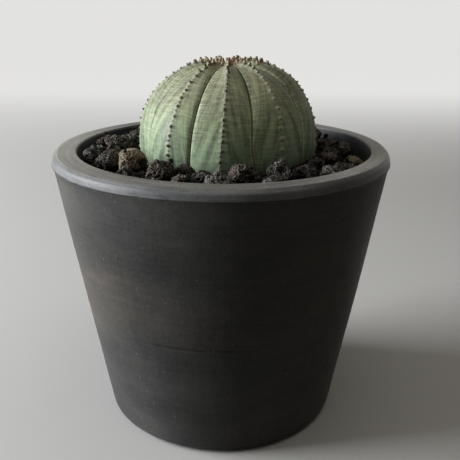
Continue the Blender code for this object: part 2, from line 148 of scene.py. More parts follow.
# Heights between which the skin turns from its low colour, and into the colour of its crown.
LOW_SKIN = (95.0 * MM, 112.0 * MM)
CROWN_SKIN = (104.0 * MM, 128.0 * MM)
# Lengths down a rib's crest over which its tubercles grow to full size, and lose their youth.
GROWTH_LENGTH = 9.0 * MM
YOUTH_LENGTH = 24.0 * MM
SWELLING_REACH = 2.5 * MM
# Measures of an old and of a young tubercle of full size.
SWELLING_SPREAD = (0.55 * MM, 0.78 * MM)
EYE_RADIUS = (1.0 * MM, 1.5 * MM)
PEG_HEIGHT = (0.26 * MM, 0.75 * MM)
PEG_RADIUS = (0.42 * MM, 0.66 * MM)
PEG_SUNK = 0.3 * MM
# Stalks on the crown: how far from its middle they stand, how tall and how thick they are.
STALK_PLACE = (3.0 * MM, 11.0 * MM)
STALK_HEIGHT = (0.4 * MM, 1.1 * MM)
STALK_RADIUS = (0.28 * MM, 0.48 * MM)
RED_REACH = 5.5 * MM    # nearer the crown's middle than this, stalks are reddish
# The tall tuft of stalks in the crown's dimple, and its share of the crown's stalks.
TUFT_PLACE = (0.1 * MM, 1.0 * MM)
TUFT_HEIGHT = 3.4 * MM
TUFT_SHARE = 0.10

# Loose lava. Each kind has its darkest and lightest colour and the strength of its pale flecks.
LAVA = {
    "stone_black": ((0.008, 0.007, 0.006), (0.170, 0.155, 0.138), 0.8),
    "stone_brown": ((0.014, 0.011, 0.009), (0.250, 0.206, 0.170), 0.3),
    "stone_grey": ((0.018, 0.017, 0.015), (0.330, 0.315, 0.290), 0.9),
    "stone_tan": ((0.130, 0.104, 0.068), (0.420, 0.360, 0.250), 0.2),
    "grit": ((0.010, 0.008, 0.007), (0.055, 0.045, 0.038), 0.6),
}
# The kind that is weathered smoother: tan on its dustier, lit side and painted black as shade elsewhere.
DULL_LAVA = "stone_tan"
DULL_CRAGGINESS = 0.6
# Without a seed, noise_vector follows the clock, and the stones differ from run to run.
NOISE_SEED = 1
CRAGS = ((2.8, 0.42), (1.3, 0.32), (0.65, 0.20), (0.38, 0.10))    # breadth in mm, share of the depth
# Faces turned up and towards the window are dustier and painted lighter: painted light on the lit side.
DUST_AND_LIGHT_SIDE = Vector((-0.60, -0.30, 0.74))
NEAR_STONES = 18    # the first stones, large and in front, are divided more finely
FLAT_FACES = 9
GRIT_LARGEST = 4.0 * MM
GRIT_SMALLEST = 0.8 * MM
GRIT_ON_STONES = 1.6 * MM    # crumbs smaller than this may lie on a stone
GRIT_RING = (30.0, 51.3)    # mm from the pot's axis
GRIT_SHARP_ANGLE = radians(35.0)
PLANT_CLEARANCE = 37.0 * MM    # nearer the plant's axis than this, stones stay bare
MIX_EDGE = 89.0 * MM    # the mix's top surface lies above this height
ABOVE_ALL = 200.0 * MM

NET_COLOURS = ((0.012, 0.012, 0.012), (0.030, 0.030, 0.030))

# Stage.
FLOOR_WIDTH = 3.2
FLOOR_FRONT = -1.6
FLOOR_BACK = 1.4
BACKDROP_HEIGHT = 1.2
BACKDROP_BEND = 0.5
BACKDROP_BLEND = (0.25, 0.90)
WINDOW_BEARING = -90.0
WINDOW_DISTANCE = 1.0
WINDOW_COLOUR = (0.97, 1.0, 1.03)
TOP_BEARING = 40.0
TOP_RISE = radians(78.0)
TOP_BREADTH = 1.0
TOP_DISTANCE = 1.2
TOP_COLOUR = (1.0, 0.95, 0.84)
SKY_COLOUR = (1.0, 0.97, 0.90, 1.0)

# Numbers that pieces carry on their points for their finishes.
SKIN_LAYERS = ("along", "across", "around", "crease", "scar", "eye")
PEG_LAYERS = ("tip", "youth", "tint")
LAVA_LAYERS = ("pit_shade", "dust_and_light")


def clamp(value):
    """The nearest number from 0 to 1."""
    return min(1.0, max(0.0, value))


def smoothstep(value):
    """Ease from 0 to 1 with flat ends."""
    value = clamp(value)
    return value * value * (3.0 - 2.0 * value)


def mix(low, high, share):
    """Blend between two numbers or two vectors."""
    return low + (high - low) * share


def bell(distance, breadth):
    """1 at no distance, and falling to nothing over about twice the breadth."""
    return exp(-((distance / breadth) ** 2))


def at_bearing(bearing, distance, height=0.0):
    """Point at a bearing and distance round the upright axis."""
    angle = radians(bearing)
    return Vector((distance * sin(angle), -distance * cos(angle), height))


# ---- Shader maths ----

class Wire:
    """A varying number in a material. Python's operators on it add Math nodes."""

    def __init__(self, paint, socket):
        self.paint = paint
        self.socket = socket

    def maths(self, operation, *values):
        """One Math node on these values."""
        return self.paint.add("ShaderNodeMath", {"operation": operation}, dict(enumerate(values)))

    def __add__(self, other):
        return self.maths("ADD", self, other)

    def __sub__(self, other):
        return self.maths("SUBTRACT", self, other)

    def __rsub__(self, other):
        return self.maths("SUBTRACT", other, self)

    def __mul__(self, other):
        return self.maths("MULTIPLY", self, other)

    def __truediv__(self, other):
        return self.maths("DIVIDE", self, other)

    def __pow__(self, other):
        return self.maths("POWER", self, other)

    __radd__ = __add__
    __rmul__ = __mul__

    def __abs__(self):
        return self.maths("ABSOLUTE", self)

    def above(self, low, high):
        """0 below the low value, 1 above the high one, with an eased step between."""
        settings = {"interpolation_type": "SMOOTHSTEP"}
        return self.paint.add("ShaderNodeMapRange", settings, {0: self, 1: low, 2: high})

    def either(self, other):
        """The larger of two values."""
        return self.maths("MAXIMUM", self, other)


def varied(middle, *pushes):
    """A middle value that noises push up and down, each by its own share."""
    for share, cloud in pushes:
        middle = middle + share * (cloud - 0.5)
    return middle


class Paint:
    """A material under construction, with one method that adds any node."""

    def __init__(self, name, roughness=0.5, **constants):
        self.material = bpy.data.materials.new(name)
        self.material.use_nodes = True
        self.nodes = self.material.node_tree.nodes
        self.links = self.material.node_tree.links
        self.shader = self.nodes["Principled BSDF"]
        self.set("Roughness", roughness)
        for socket, value in constants.items():
            self.set(socket.replace("_", " "), value)

    def add(self, kind, settings=None, sockets=None, output=0):
        """Add a node: its settings first, then values or wires on its sockets."""
        node = self.nodes.new(kind)
        for name, value in (settings or {}).items():
            setattr(node, name, value)
        for socket, value in (sockets or {}).items():
            self.feed(node.inputs[socket], value)
        return Wire(self, node.outputs[output])

    def feed(self, socket, value):
        """Link a wire to a socket, or write a value on it."""
        if isinstance(value, Wire):
            self.links.new(value.socket, socket)
        elif socket.type == "RGBA":
            socket.default_value = (*value, 1.0)
        else:
            socket.default_value = value

    def set(self, socket, value):
        """Feed one of the shader's own sockets."""
        self.feed(self.shader.inputs[socket], value)

    def point(self):
        """Object coordinates."""
        return self.add("ShaderNodeTexCoord", output="Object")

    def vectors(self, operation, first, second):
        """One Vector Math node on these two values."""
        return self.add("ShaderNodeVectorMath", {"operation": operation}, {0: first, 1: second})

    def place(self, scale=(1.0, 1.0, 1.0)):
        """Object coordinates, stretched by a scale in each direction."""
        return self.vectors("MULTIPLY", self.point(), scale)

    def joined(self, x, y, z):
        """A vector from three numbers or wires."""
        return self.add("ShaderNodeCombineXYZ", None, {0: x, 1: y, 2: z})

    def axis(self, name):
        """One of the Object coordinates, X, Y or Z, as a number."""
        return self.add("ShaderNodeSeparateXYZ", None, {0: self.point()}, name)

    def turned(self, round_scale, line_scale):
        """Seamless place on a wheel-turned piece: side of its axis, radius and height."""
        x, y = self.axis("X"), self.axis("Y")
        radius = (x * x + y * y) ** 0.5
        lines = radius * line_scale + y / radius * round_scale
        return self.joined(lines, self.axis("Z") * line_scale, x / radius * round_scale)

    def noise(self, vector, scale=1.0, detail=3.0, roughness=0.55, distortion=0.0):
        """Cloudy noise between about 0.3 and 0.7."""
        sockets = {"Vector": vector, "Scale": scale, "Detail": detail, "Roughness": roughness}
        return self.add("ShaderNodeTexNoise", None, {**sockets, "Distortion": distortion})

    def grain(self, scale, detail=3.0, roughness=0.55):
        """Cloudy noise on plain Object coordinates."""
        return self.noise(self.place(), scale, detail, roughness)

    def cells(self, vector, scale=1.0, feature="F1"):
        """Distance to the nearest scattered point, or to the nearest cell wall."""
        settings = {"feature": feature}
        return self.add("ShaderNodeTexVoronoi", settings, {"Vector": vector, "Scale": scale}, "Distance")

    def bent(self, scale, reach):
        """Object coordinates with a small random push, which breaks up a regular pattern."""
        place = self.place()
        push = self.add("ShaderNodeTexNoise", None, {"Vector": self.place(), "Scale": scale}, "Color")
        centred = self.vectors("SUBTRACT", push, (0.5, 0.5, 0.5))
        settings = {"operation": "SCALE"}
        push = self.add("ShaderNodeVectorMath", settings, {0: centred, "Scale": 2.0 * reach})
        return self.vectors("ADD", place, push)

    def attribute(self, name):
        """A number stored on the piece's own points."""
        return self.add("ShaderNodeAttribute", {"attribute_name": name}, None, "Fac")

    def blend(self, share, low, high):
        """Colour between two colours."""
        return self.add("ShaderNodeMix", {"data_type": "RGBA"}, {0: share, 6: low, 7: high}, 2)

    def shade(self, colour, amount):
        """A colour made lighter or darker by a varying amount, 1 leaving it as it is."""
        grey = self.add("ShaderNodeCombineColor", None, {0: amount, 1: amount, 2: amount})
        settings = {"data_type": "RGBA", "blend_type": "MULTIPLY"}
        return self.add("ShaderNodeMix", settings, {0: 1.0, 6: colour, 7: grey}, 2)

    def relief(self, height, depth, strength=1.0):
        """Fine bumps whose full height range is a depth in metres."""
        sockets = {"Strength": strength, "Distance": depth, "Height": height}
        self.set("Normal", self.add("ShaderNodeBump", None, sockets))


# ---- Finishes ----

def inner_wall(paint, height):
    """1 on the pot's inner wall and floor, and 0 elsewhere."""
    x, y = paint.axis("X") - MOUTH_OFFSET, paint.axis("Y")
    radius = (x * x + y * y) ** 0.5
    below_edge = 1.0 - height.above(MOUTH_TOP - 0.9 * MM, MOUTH_TOP - 0.4 * MM)
    above_foot = height.above(4.0 * MM, 6.0 * MM)
    return (inner_radius(height) - radius).above(-1.2 * MM, -0.4 * MM) * below_edge * above_foot


def clay_finish(settings):
    """Burnished charcoal clay: wheel lines, soft brown clouds, faint smudges and pale specks, with
    painted sheen on the rim's band and top, and painted shade inside and in the tool's dent.
    """
    paint = Paint(
        "clay", Specular_IOR_Level=0.10, Coat_Roughness=0.5, Sheen_Weight=0.06, Sheen_Roughness=0.4,
    )
    height = paint.axis("Z")
    clouds = paint.noise(paint.place((14.0, 14.0, 36.0)))
    smudges = paint.noise(paint.place((30.0, 30.0, 62.0)), detail=6.0, roughness=0.65, distortion=0.6)
    wheel = paint.noise(paint.turned(1.5, 700.0))
    rings = paint.noise(paint.turned(2.5, 1100.0), detail=4.0, roughness=0.7)
    strokes = paint.noise(paint.turned(70.0, 25.0), detail=4.0, roughness=0.6)
    grain = paint.grain(1100.0, 4.0, 0.7)
    middle = height.above(*WARM_RISE) * (1.0 - height.above(*WARM_FALL))
    warm = middle * clouds.above(0.40, 0.56) * 0.65 + smudges.above(0.52, 0.70) * 0.4
    colour = paint.blend(warm, settings.clay, settings.clay_warm)
    tone = varied(1.0, (1.3, clouds), (1.4, smudges), (0.4, wheel), (0.4, strokes), (0.8, grain))
    colour = paint.shade(colour, tone)
    # Painted shade along the tool's shallow dent: the dent is painted dark.
    colour = paint.blend(paint.attribute("mark") * 0.6, colour, settings.clay_mark_shade)
    chosen = paint.grain(170.0, 0.0).above(0.52, 0.57)
    specks = (0.10 - paint.cells(paint.place(), 400.0)).above(0.0, 0.04) * chosen
    inside = inner_wall(paint, height)
    top = height.above(SHOULDER_TOP - 0.25 * MM, SHOULDER_TOP - 0.05 * MM) * (1.0 - inside)
    across, back = paint.axis("X") / RIM_RADIUS, paint.axis("Y") / RIM_RADIUS
    # Painted sheen and shade on the rim's top: lighter towards the left and right sides and more on the
    # right, darker towards the back.
    wear_and_sheen = 0.78 + 1.15 * abs(across) ** 3 + 0.35 * across.above(0.3, 1.0) - 0.65 * back.above(0.0, 1.0)
    top_dust_and_sheen = paint.shade(settings.clay_top_dust_and_sheen, varied(wear_and_sheen, (2.0, rings), (1.3, smudges), (1.2, grain)))
    band = height.above(BAND_FOOT - 0.4 * MM, BAND_FOOT) * (1.0 - inside) * (1.0 - top)
    # Painted sheen: the band is painted paler and bluer, as the window's light shines on it.
    band_sheen = paint.shade(settings.clay_band_sheen, varied(1.0, (1.5, smudges), (1.6, rings), (1.0, grain)))
    colour = paint.blend(top, paint.blend(band, colour, band_sheen), top_dust_and_sheen)
    colour = paint.blend(specks * 0.7, colour, settings.speck)
    # Painted shade: the pot's inner wall and floor are painted darker and bluer than the outside.
    paint.set("Base Color", paint.blend(inside, colour, settings.clay_inside_shade))
    paint.set("Coat Weight", band * varied(0.75, (1.5, smudges)) + 0.30 * inside + 0.12 * top)
    paint.set("Roughness", varied(0.50, (0.30, smudges), (0.20, strokes)))
    turning = wheel * 0.9 * (1.0 - top) + rings * 0.8 * top
    fine = paint.grain(2200.0)
    paint.relief(turning + strokes * 0.15 + grain * 0.5 + fine * 0.3 + specks * 0.5, 0.14 * MM, 0.9)
    return paint.material


def net_finish():
    """Black moulded plastic with a fine grain."""
    paint = Paint("net_plastic")
    paint.set("Base Color", paint.blend(paint.grain(300.0), *NET_COLOURS))
    grain = paint.grain(2500.0)
    paint.set("Roughness", 0.38 + 0.25 * grain)
    paint.relief(grain, 0.05 * MM, 0.5)
    return paint.material


def mix_finish(settings):
    """Dark crumbly mix with a few pale grains."""
    paint = Paint("mix")
    crumbs = paint.grain(420.0, 6.0, 0.7)
    grains = (0.16 - paint.cells(paint.place(), 330.0)).above(0.0, 0.05)
    colour = paint.blend(crumbs.above(0.35, 0.68), settings.mix_dark, settings.mix_light)
    paint.set("Base Color", paint.blend(grains * 0.30, colour, settings.mix_grain))
    paint.set("Roughness", 0.85 + 0.10 * crumbs)
    paint.relief(crumbs, 0.8 * MM)
    return paint.material


def skin_finish(settings):
    """Waxy skin: grey-green, olive at the crown, banded across each rib and streaked along it, with
    painted shade in its creases and a painted highlight beside them.
    """
    paint = Paint("plant_skin", Specular_IOR_Level=0.25, Sheen_Weight=0.05, Sheen_Roughness=0.5)
    along, across, around, crease, scar, eye = [paint.attribute(name) for name in SKIN_LAYERS]
    height = paint.axis("Z")
    lines = along / (0.55 * MM) + paint.grain(90.0, 2.0) * 5.0
    bands = paint.noise(paint.joined(around * 3.0, lines, 0.0), detail=1.5)
    broad_bands = paint.noise(paint.joined(around * 2.0, lines * 0.35, 3.0), detail=1.0)
    diagonal = across - along / (40.0 * MM)
    streaks = paint.noise(paint.joined(diagonal * 5.0, along / (30.0 * MM), around * 0.7))
    patched = paint.joined(diagonal * 3.5, along / (24.0 * MM), around * 0.6 + 7.0)
    patches = paint.noise(patched, detail=4.0).above(0.46, 0.62)
    threads = paint.noise(paint.joined(around * 26.0, along / (6.0 * MM), 8.0), distortion=0.8)
    mottle = paint.grain(650.0, 4.0, 0.65)
    crown = height.above(*CROWN_SKIN)
    low = 1.0 - height.above(*LOW_SKIN)
    near_crease = 1.0 - crease.above(0.5 * MM, 4.0 * MM)
    colour = paint.blend(crown, settings.skin, settings.skin_crown)
    colour = paint.blend(low * 0.8, colour, settings.skin_low)
    colour = paint.blend(patches * (0.52 - 0.36 * low), colour, settings.skin_patch)
    pale_bands = bands.above(0.48, 0.66) * (0.25 + 0.22 * near_crease)
    colour = paint.blend(pale_bands, colour, settings.skin_band)
    # Painted highlight: a pale strip beside each crease, where the steep wall of the crease catches the
    # light.
    margin_highlight = crease.above(0.15 * MM, 0.35 * MM) * (1.0 - crease.above(0.5 * MM, 1.1 * MM))
    colour = paint.blend(margin_highlight * 0.85, colour, settings.skin_crease_highlight)
    ringed = 0.24 + 0.42 * crown + 0.28 * near_crease
    banding = (1.9 * (bands - 0.5) + (broad_bands - 0.5)) * ringed
    colour = paint.shade(colour, varied(1.0 + banding, (2.3, streaks), (0.8, threads), (0.85, mottle)))
    crest = 1.0 - across.above(0.015, 0.060)
    flecks = paint.noise(paint.joined(around * 9.0, along / (0.5 * MM), 2.0), detail=2.0)
    colour = paint.blend(crest * flecks.above(0.50, 0.60) * 0.75, colour, settings.skin_scar)
    # Painted shade: the bottom of each crease is painted dark, more so higher up.
    crease_shade_strength = 0.55 + 0.15 * height.above(96.0 * MM, 116.0 * MM)
    crease_shade = (1.0 - crease.above(0.10 * MM, 0.42 * MM)) * crease_shade_strength
    colour = paint.blend(crease_shade, colour, settings.skin_crease_shade)
    colour = paint.blend(scar * 0.5, colour, settings.skin_scar)
    paint.set("Base Color", paint.blend(eye * 0.9, colour, settings.skin_eye))
    paint.set("Roughness", varied(0.52, (0.20, mottle), (0.20, bands)))
    pores = paint.grain(1700.0, 2.0)
    paint.relief(bands * 0.45 + threads * 0.2 + mottle * 0.3 + pores * 0.12, 0.16 * MM, 0.9)
    return paint.material


def tubercle_finish(settings):
    """Corky pegs: skin-coloured or reddish at the base, and dark at the tip."""
    paint = Paint("tubercle")
    tip, youth, tint = [paint.attribute(name) for name in PEG_LAYERS]
    base = paint.blend(youth * tint, settings.peg_base, settings.peg_young)
    base = paint.blend(youth * (1.0 - tint), base, settings.peg_gold)
    grain = paint.grain(1600.0)
    dark = varied(tip, (0.5, grain)).above(0.40, 0.85)
    colour = paint.blend(dark * (1.0 - 0.58 * youth), base, settings.peg_tip)
    paint.set("Base Color", paint.shade(colour, 0.75 + 0.5 * grain))
    paint.set("Roughness", 0.70 + 0.2 * grain)
    paint.relief(grain, 0.15 * MM, 0.7)
    return paint.material


def lava_finish(name, fleck):
    """Vesicular lava: paler walls round bubbles painted black inside as shade, darker in hollows as
    painted shade, dustier and painted lighter on top and on the side lit by the window, with scattered
    pale flecks.
    """
    paint = Paint(name, Specular_IOR_Level=0.3)
    low, high, fleck_share = LAVA[name]
    pit_shade, dust_and_light = [paint.attribute(layer) for layer in LAVA_LAYERS]
    lumps = paint.grain(420.0, 5.0, 0.7)
    grain = paint.grain(1500.0, 5.0, 0.75)
    bent = paint.bent(600.0, 0.5 * MM)
    walls = 1.0 - paint.cells(bent, 1150.0, "DISTANCE_TO_EDGE").above(0.01, 0.13)
    fine_walls = 1.0 - paint.cells(bent, 2300.0, "DISTANCE_TO_EDGE").above(0.01, 0.16)
    # Bubbles are painted black inside with paler walls round them, as painted shade.
    ridge = lumps + walls * 0.50 + fine_walls * 0.35 + dust_and_light * 0.25 - pit_shade * 0.65
    # Painted light and shade: tan on the dustier, lit side and black on the shaded side.
    if name == DULL_LAVA:
        black_low, black_high, _ = LAVA["stone_black"]
        low = paint.blend(dust_and_light.above(0.15, 0.45), black_low, low)
        high = paint.blend(dust_and_light.above(0.15, 0.45), black_high, high)
    colour = paint.blend(ridge.above(0.70, 1.22), low, high)
    colour = paint.shade(colour, 2.6 * grain - 0.30)
    flecks = (0.30 - paint.cells(paint.place(), 1100.0)).above(0.0, 0.12)
    rare = paint.grain(260.0, 1.0).above(0.52, 0.64)
    # Pale wires show only on the dustier, lit side: a painted highlight.
    wires = (walls * 0.6 + fine_walls * 0.4).above(0.35, 0.60) * rare * dust_and_light.above(0.20, 0.60)
    colour = paint.blend((flecks * rare).either(wires * 0.55) * fleck_share, colour, fleck)
    # Painted shade: darker in hollows and bubbles.
    paint.set("Base Color", paint.shade(colour, 1.05 - 0.90 * pit_shade))
    paint.set("Roughness", 0.80 + 0.15 * grain)
    paint.relief(lumps * 0.4 + grain * 0.7 + walls * 0.35 + fine_walls * 0.2, 0.60 * MM)
    return paint.material


# ---- Pieces ----

def new_mesh(name, shape):
    """A mesh from a bmesh, which is used up."""
    mesh = bpy.data.meshes.new(name)
    shape.to_mesh(mesh)
    shape.free()
    return mesh


def new_object(name, data):
    """An object in the scene for a mesh, lamp or camera."""
    made = bpy.data.objects.new(name, data)
    bpy.context.scene.collection.objects.link(made)
    return made


def smooth_object(name, shape, finish):
    """A smooth object from a bmesh, with its finish."""
    mesh = new_mesh(name, shape)
    mesh.shade_smooth()
    mesh.materials.append(finish)
    return new_object(name, mesh)


def new_layers(shape, names):
    """Number layers on a shape's points, by name."""
    return {name: shape.verts.layers.float.new(name) for name in names}


def add_piece(name, shape, finish, replaced=(), sharp_angle=None):
    """Turn a bmesh into a smooth piece that rides on the body and stands for its CAD nodes."""
    piece = smooth_object(name, shape, finish)
    if sharp_angle is not None:
        piece.data.set_sharp_from_angle(angle=sharp_angle)
    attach(piece, BODY)
    if replaced:
        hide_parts(*replaced)
    return piece


def merge(shape):
    """Join points that lie on each other."""
    bmesh.ops.remove_doubles(shape, verts=shape.verts, dist=0.001 * MM)


def merged_copy(node):
    """A CAD node's mesh as one joined skin."""
    shape = bmesh.new()
    shape.from_mesh(frame["nodes"][node].data)
    merge(shape)
    return shape


def refine(shape, edges=None):
    """Split every edge once, each triangle into four."""
    chosen = list(edges or shape.edges)
    bmesh.ops.subdivide_edges(shape, edges=chosen, cuts=1, use_grid_fill=True)


# ---- Pot ----

def inner_radius(height):
    """Radius of the pot's inner wall at a height."""
    return mix(FLOOR_RADIUS, MOUTH_RADIUS, (height - FLOOR_TOP) / (MOUTH_TOP - FLOOR_TOP))


def outer_radius(height):
    """Radius of the pot's outer wall at a height."""
    return mix(FOOT_RADIUS, RIM_RADIUS, height / BAND_FOOT)


def wall_centre(height):
    """Where the inner wall's axis stands at a height: true at the floor, off centre at the mouth."""
    return Vector((MOUTH_OFFSET * (height - FLOOR_TOP) / (MOUTH_TOP - FLOOR_TOP), 0.0, 0.0))


def pot_outline():
    """Closed wire of the pot's section, with its corners rounded and its long runs divided."""
    mark = [MARK_HEIGHT + step * MM for step in (-1.4, -0.7, -0.35, 0.0, 0.35, 0.7, 1.4)]
    # Radius, height and rounding in mm, from the drain hole outwards and back over the rim.
    corners = (
        (DRAIN_RADIUS, RECESS_DEPTH, 0.4),
        (RECESS_RADIUS, RECESS_DEPTH, 0.5),
        (RECESS_RADIUS + RECESS_DEPTH, 0.0, 0.6),
        (FOOT_RADIUS, 0.0, 3.2),
        *((outer_radius(height), height, 0.0) for height in mark),
        (RIM_RADIUS - 0.60 * MM, BAND_FOOT - 1.4 * MM, 0.5),
        (RIM_RADIUS - 0.32 * MM, BAND_FOOT - 0.3 * MM, 0.12),
        (RIM_RADIUS, BAND_FOOT, 0.12),
        (BAND_TOP_RADIUS, BAND_TOP, 0.4),
        (SHOULDER_RADIUS, SHOULDER_TOP, 0.22),
        (MOUTH_RADIUS, MOUTH_TOP, 0.45),
        (FLOOR_RADIUS, FLOOR_TOP, 4.0),
        (DRAIN_RADIUS, FLOOR_TOP, 0.4),
    )
    shape = bmesh.new()
    verts = [shape.verts.new((radius, 0.0, height)) for radius, height, _ in corners]
    for before, after in zip(verts, verts[1:] + verts[:1]):
        shape.edges.new((before, after))
    for vert, (_, _, rounding) in zip(verts, corners):
        if rounding:
            bmesh.ops.bevel(
                shape, geom=[vert], offset=rounding * MM, offset_type="OFFSET", segments=5, profile=0.5,
                affect="VERTICES", material=-1,
            )
    for shortest, cuts in ((LONG_RUN, 36), (BROAD_RUN, 5)):
        runs = [edge for edge in shape.edges if edge.calc_length() > shortest]
        bmesh.ops.subdivide_edges(shape, edges=runs, cuts=cuts)
    return shape


def tool_mark(bearing, height):
    """Strength of the tool's mark at a bearing, in radians, and a height."""
    share = (bearing - MARK_BEARING) / MARK_REACH
    wander = 0.5 * MM * noise.noise(Vector((3.0 * bearing, 0.0, 4.0)))
    reach = max(0.0, exp(-share ** 4) * (0.8 + 0.6 * noise.noise(Vector((9.0 * bearing, 0.0, 0.0)))))
    return reach * bell(height - MARK_HEIGHT - wander, 0.40 * MM)


def turned_wobble(point):
    """How far a turned wall stands out from a true cone: slow waves, tool ridges and wear round the foot.
    """
    bearing = atan2(point.x, -point.y)
    side = Vector((sin(bearing), cos(bearing), 0.0))
    up = Vector((0.0, 0.0, point.z))
    slow = 0.16 * MM * (noise.noise(side * 1.3 + up / (30.0 * MM)) - 0.8)
    ridges = 0.04 * MM * noise.noise(side * 0.3 + up / (2.0 * MM))
    chips = 0.7 * MM * max(0.0, noise.noise(side * 38.0) - 0.1) * bell(point.z - BAND_FOOT, 0.4 * MM)
    wear_and_sheen = 0.45 * MM * abs(noise.noise(side * 7.0 + up / (3.0 * MM)))
    wear_and_sheen *= smoothstep(1.0 - point.z / (5.0 * MM))
    return slow + ridges - chips - wear_and_sheen - 0.30 * MM * tool_mark(bearing, point.z)


def pot_shape(settings):
    """The pot, spun from its section, with the small unevenness of turned clay."""
    shape = pot_outline()
    bmesh.ops.spin(
        shape, geom=list(shape.verts) + list(shape.edges), cent=(0.0, 0.0, 0.0), axis=(0.0, 0.0, 1.0),
        angle=2.0 * pi, steps=settings.pot_steps, use_merge=True,
    )
    merge(shape)
    bmesh.ops.recalc_face_normals(shape, faces=shape.faces)
    mark_layer = shape.verts.layers.float.new("mark")
    for vert in shape.verts:
        height = vert.co.z
        distance = vert.co.xy.length
        if height > FLOOR_TOP and distance < (inner_radius(height) + outer_radius(height)) / 2.0:
            vert.co += wall_centre(height)
        elif height > 0.2 * MM and distance > RECESS_RADIUS + 3.0 * MM:
            vert[mark_layer] = tool_mark(atan2(vert.co.x, -vert.co.y), height)
            sag = 0.7 * MM * (vert.co.x / distance) ** 2 * bell(height - BAND_FOOT, 1.3 * MM)
            out = Vector((vert.co.x, vert.co.y, 0.0)).normalized()
            vert.co += out * turned_wobble(vert.co) - Vector((0.0, 0.0, sag))
    return shape


# ---- Plant ----

def globe_point(angle):
    """Radius and height on the upper half, angle 0 at the crown and pi/2 at the widest ring."""
    power = 2.0 / SQUARENESS
    radius = GLOBE_RADIUS * sin(angle) ** power
    height = GLOBE_MIDDLE + GLOBE_RISE * max(0.0, cos(angle)) ** power
    return radius, height - DIMPLE_DEPTH * bell(radius, DIMPLE_RADIUS)


def lower_radius(height):
    """Radius below the widest ring: the globe closing in, joined smoothly to the taproot."""
    drop = (GLOBE_MIDDLE - height) / GLOBE_DROP
    globe = GLOBE_RADIUS * sqrt(max(0.0, 1.0 - drop * drop))
    root = mix(NECK_RADIUS, ROOT_TIP_RADIUS, min(1.0, (NECK_HEIGHT - height) / (NECK_HEIGHT - ROOT_TIP)))
    root *= smoothstep((GLOBE_MIDDLE - height) / (GLOBE_MIDDLE - NECK_HEIGHT))
    root *= sqrt(clamp((height - ROOT_TIP) / ROOT_TIP_RADIUS))
    return (globe ** 4 + root ** 4) ** 0.25


class Meridian:
    """The line down a rib's crest from the crown to the root's tip, read by its length."""

    STEPS = 500

    def __init__(self):
        top = [globe_point(pi / 2.0 * step / self.STEPS) for step in range(self.STEPS)]
        heights = [mix(GLOBE_MIDDLE, ROOT_TIP, step / self.STEPS) for step in range(self.STEPS + 1)]
        self.points = [Vector(point) for point in top]
        self.points += [Vector((lower_radius(height), height)) for height in heights]
        self.lengths = [0.0]
        for before, after in zip(self.points, self.points[1:]):
            self.lengths.append(self.lengths[-1] + (after - before).length)

    def at(self, length):
        """Point and outward normal, as (radius, height) vectors, at a length from the crown."""
        index = min(max(1, bisect_left(self.lengths, length)), len(self.points) - 1)
        before, after = self.points[index - 1], self.points[index]
        share = (length - self.lengths[index - 1]) / (self.lengths[index] - self.lengths[index - 1])
        along = (after - before).normalized()
        return mix(before, after, share), Vector((-along.y, along.x))

    def length_at(self, height):
        """Length from the crown down to a height below the widest ring."""
        for length, point in zip(self.lengths, self.points):
            if length > 10.0 * MM and point.y < height:
                return length
        return self.lengths[-1]


LINE = Meridian()


def ribbing(height):
    """Strength of the ribs at a height: full on the globe, gone on the root."""
    return smoothstep((height - NECK_HEIGHT + 6.0 * MM) / (14.0 * MM))


def groove_share(rib, signed_share, height):
    """How deep the skin lies between crest (0) and groove (1): a keeled crest and a sharp crease.

    The first groove's crease fades out low down.
    """
    share = abs(signed_share)
    beside_first_groove = (rib, signed_share > 0.0) in ((0, True), (1, False))
    sharp = smoothstep((height - 100.0 * MM) / (14.0 * MM)) if beside_first_groove else 1.0
    return KEEL_SHARE * share + CREASE_SHARE * sharp * share ** CREASE_SHARPNESS


def fullness(bearing, height):
    """How far the globe's fuller shoulder, at its right and back, swells beyond the rest."""
    side = max(0.0, cos(radians(bearing - FULL_SIDE_BEARING))) ** 2
    return FULL_SIDE_SWELL * side * bell(height - FULL_SIDE_HEIGHT, FULL_SIDE_BREADTH)


def rib_side(rib, signed_share, height):
    """Bearing at a signed share of a rib: -1 the groove before it, 0 its crest, 1 the groove after."""
    crest = CREST_BEARINGS[rib]
    groove = rib - 1 if signed_share < 0.0 else rib
    side = GROOVE_BEARINGS[groove] - (360.0 if groove < 0 else 0.0)
    side += FOOT_LEANS[groove] * smoothstep((108.0 * MM - height) / (14.0 * MM))
    return mix(crest, side, abs(signed_share)) + TWIST * (height - TWIST_MIDDLE) * ribbing(height)


def skin_point(settings, rib, signed_share, length, lift=0.0):
    """Point on the ribbed skin, and the skin's outward direction there."""
    (radius, height), normal = LINE.at(length)
    depth = min(settings.groove_depth, DEEPEST_SHARE * radius) * ribbing(height)
    bearing = rib_side(rib, signed_share, height)
    offset = lift + fullness(bearing, height) - depth * groove_share(rib, signed_share, height)
    point = PLANT_CENTRE + at_bearing(bearing, radius + normal.x * offset, height + normal.y * offset)
    return point, at_bearing(bearing, normal.x, normal.y)


def tubercles(settings, rib):
    """Length, sideways shift, size and youth of each tubercle down one rib's crest."""
    random = Random(100 + rib)
    rows = []
    length = settings.first_tubercle
    while LINE.at(length)[0].y > BURIED_HEIGHT:
        grown = mix(0.45, 1.0, smoothstep(length / GROWTH_LENGTH))
        youth = 1.0 - smoothstep(length / YOUTH_LENGTH)
        pitch = mix(settings.pitch_side, settings.pitch_crown, youth)
        side = random.uniform(-0.25, 0.25) * MM
        rows.append((length, side, grown * random.uniform(0.95, 1.2), youth))
        if youth < 0.4:
            between = length + pitch * random.uniform(0.45, 0.55)
            rows.append((between, -side, random.uniform(0.35, 0.75), youth))
        length += pitch * random.uniform(0.92, 1.08)
    return rows


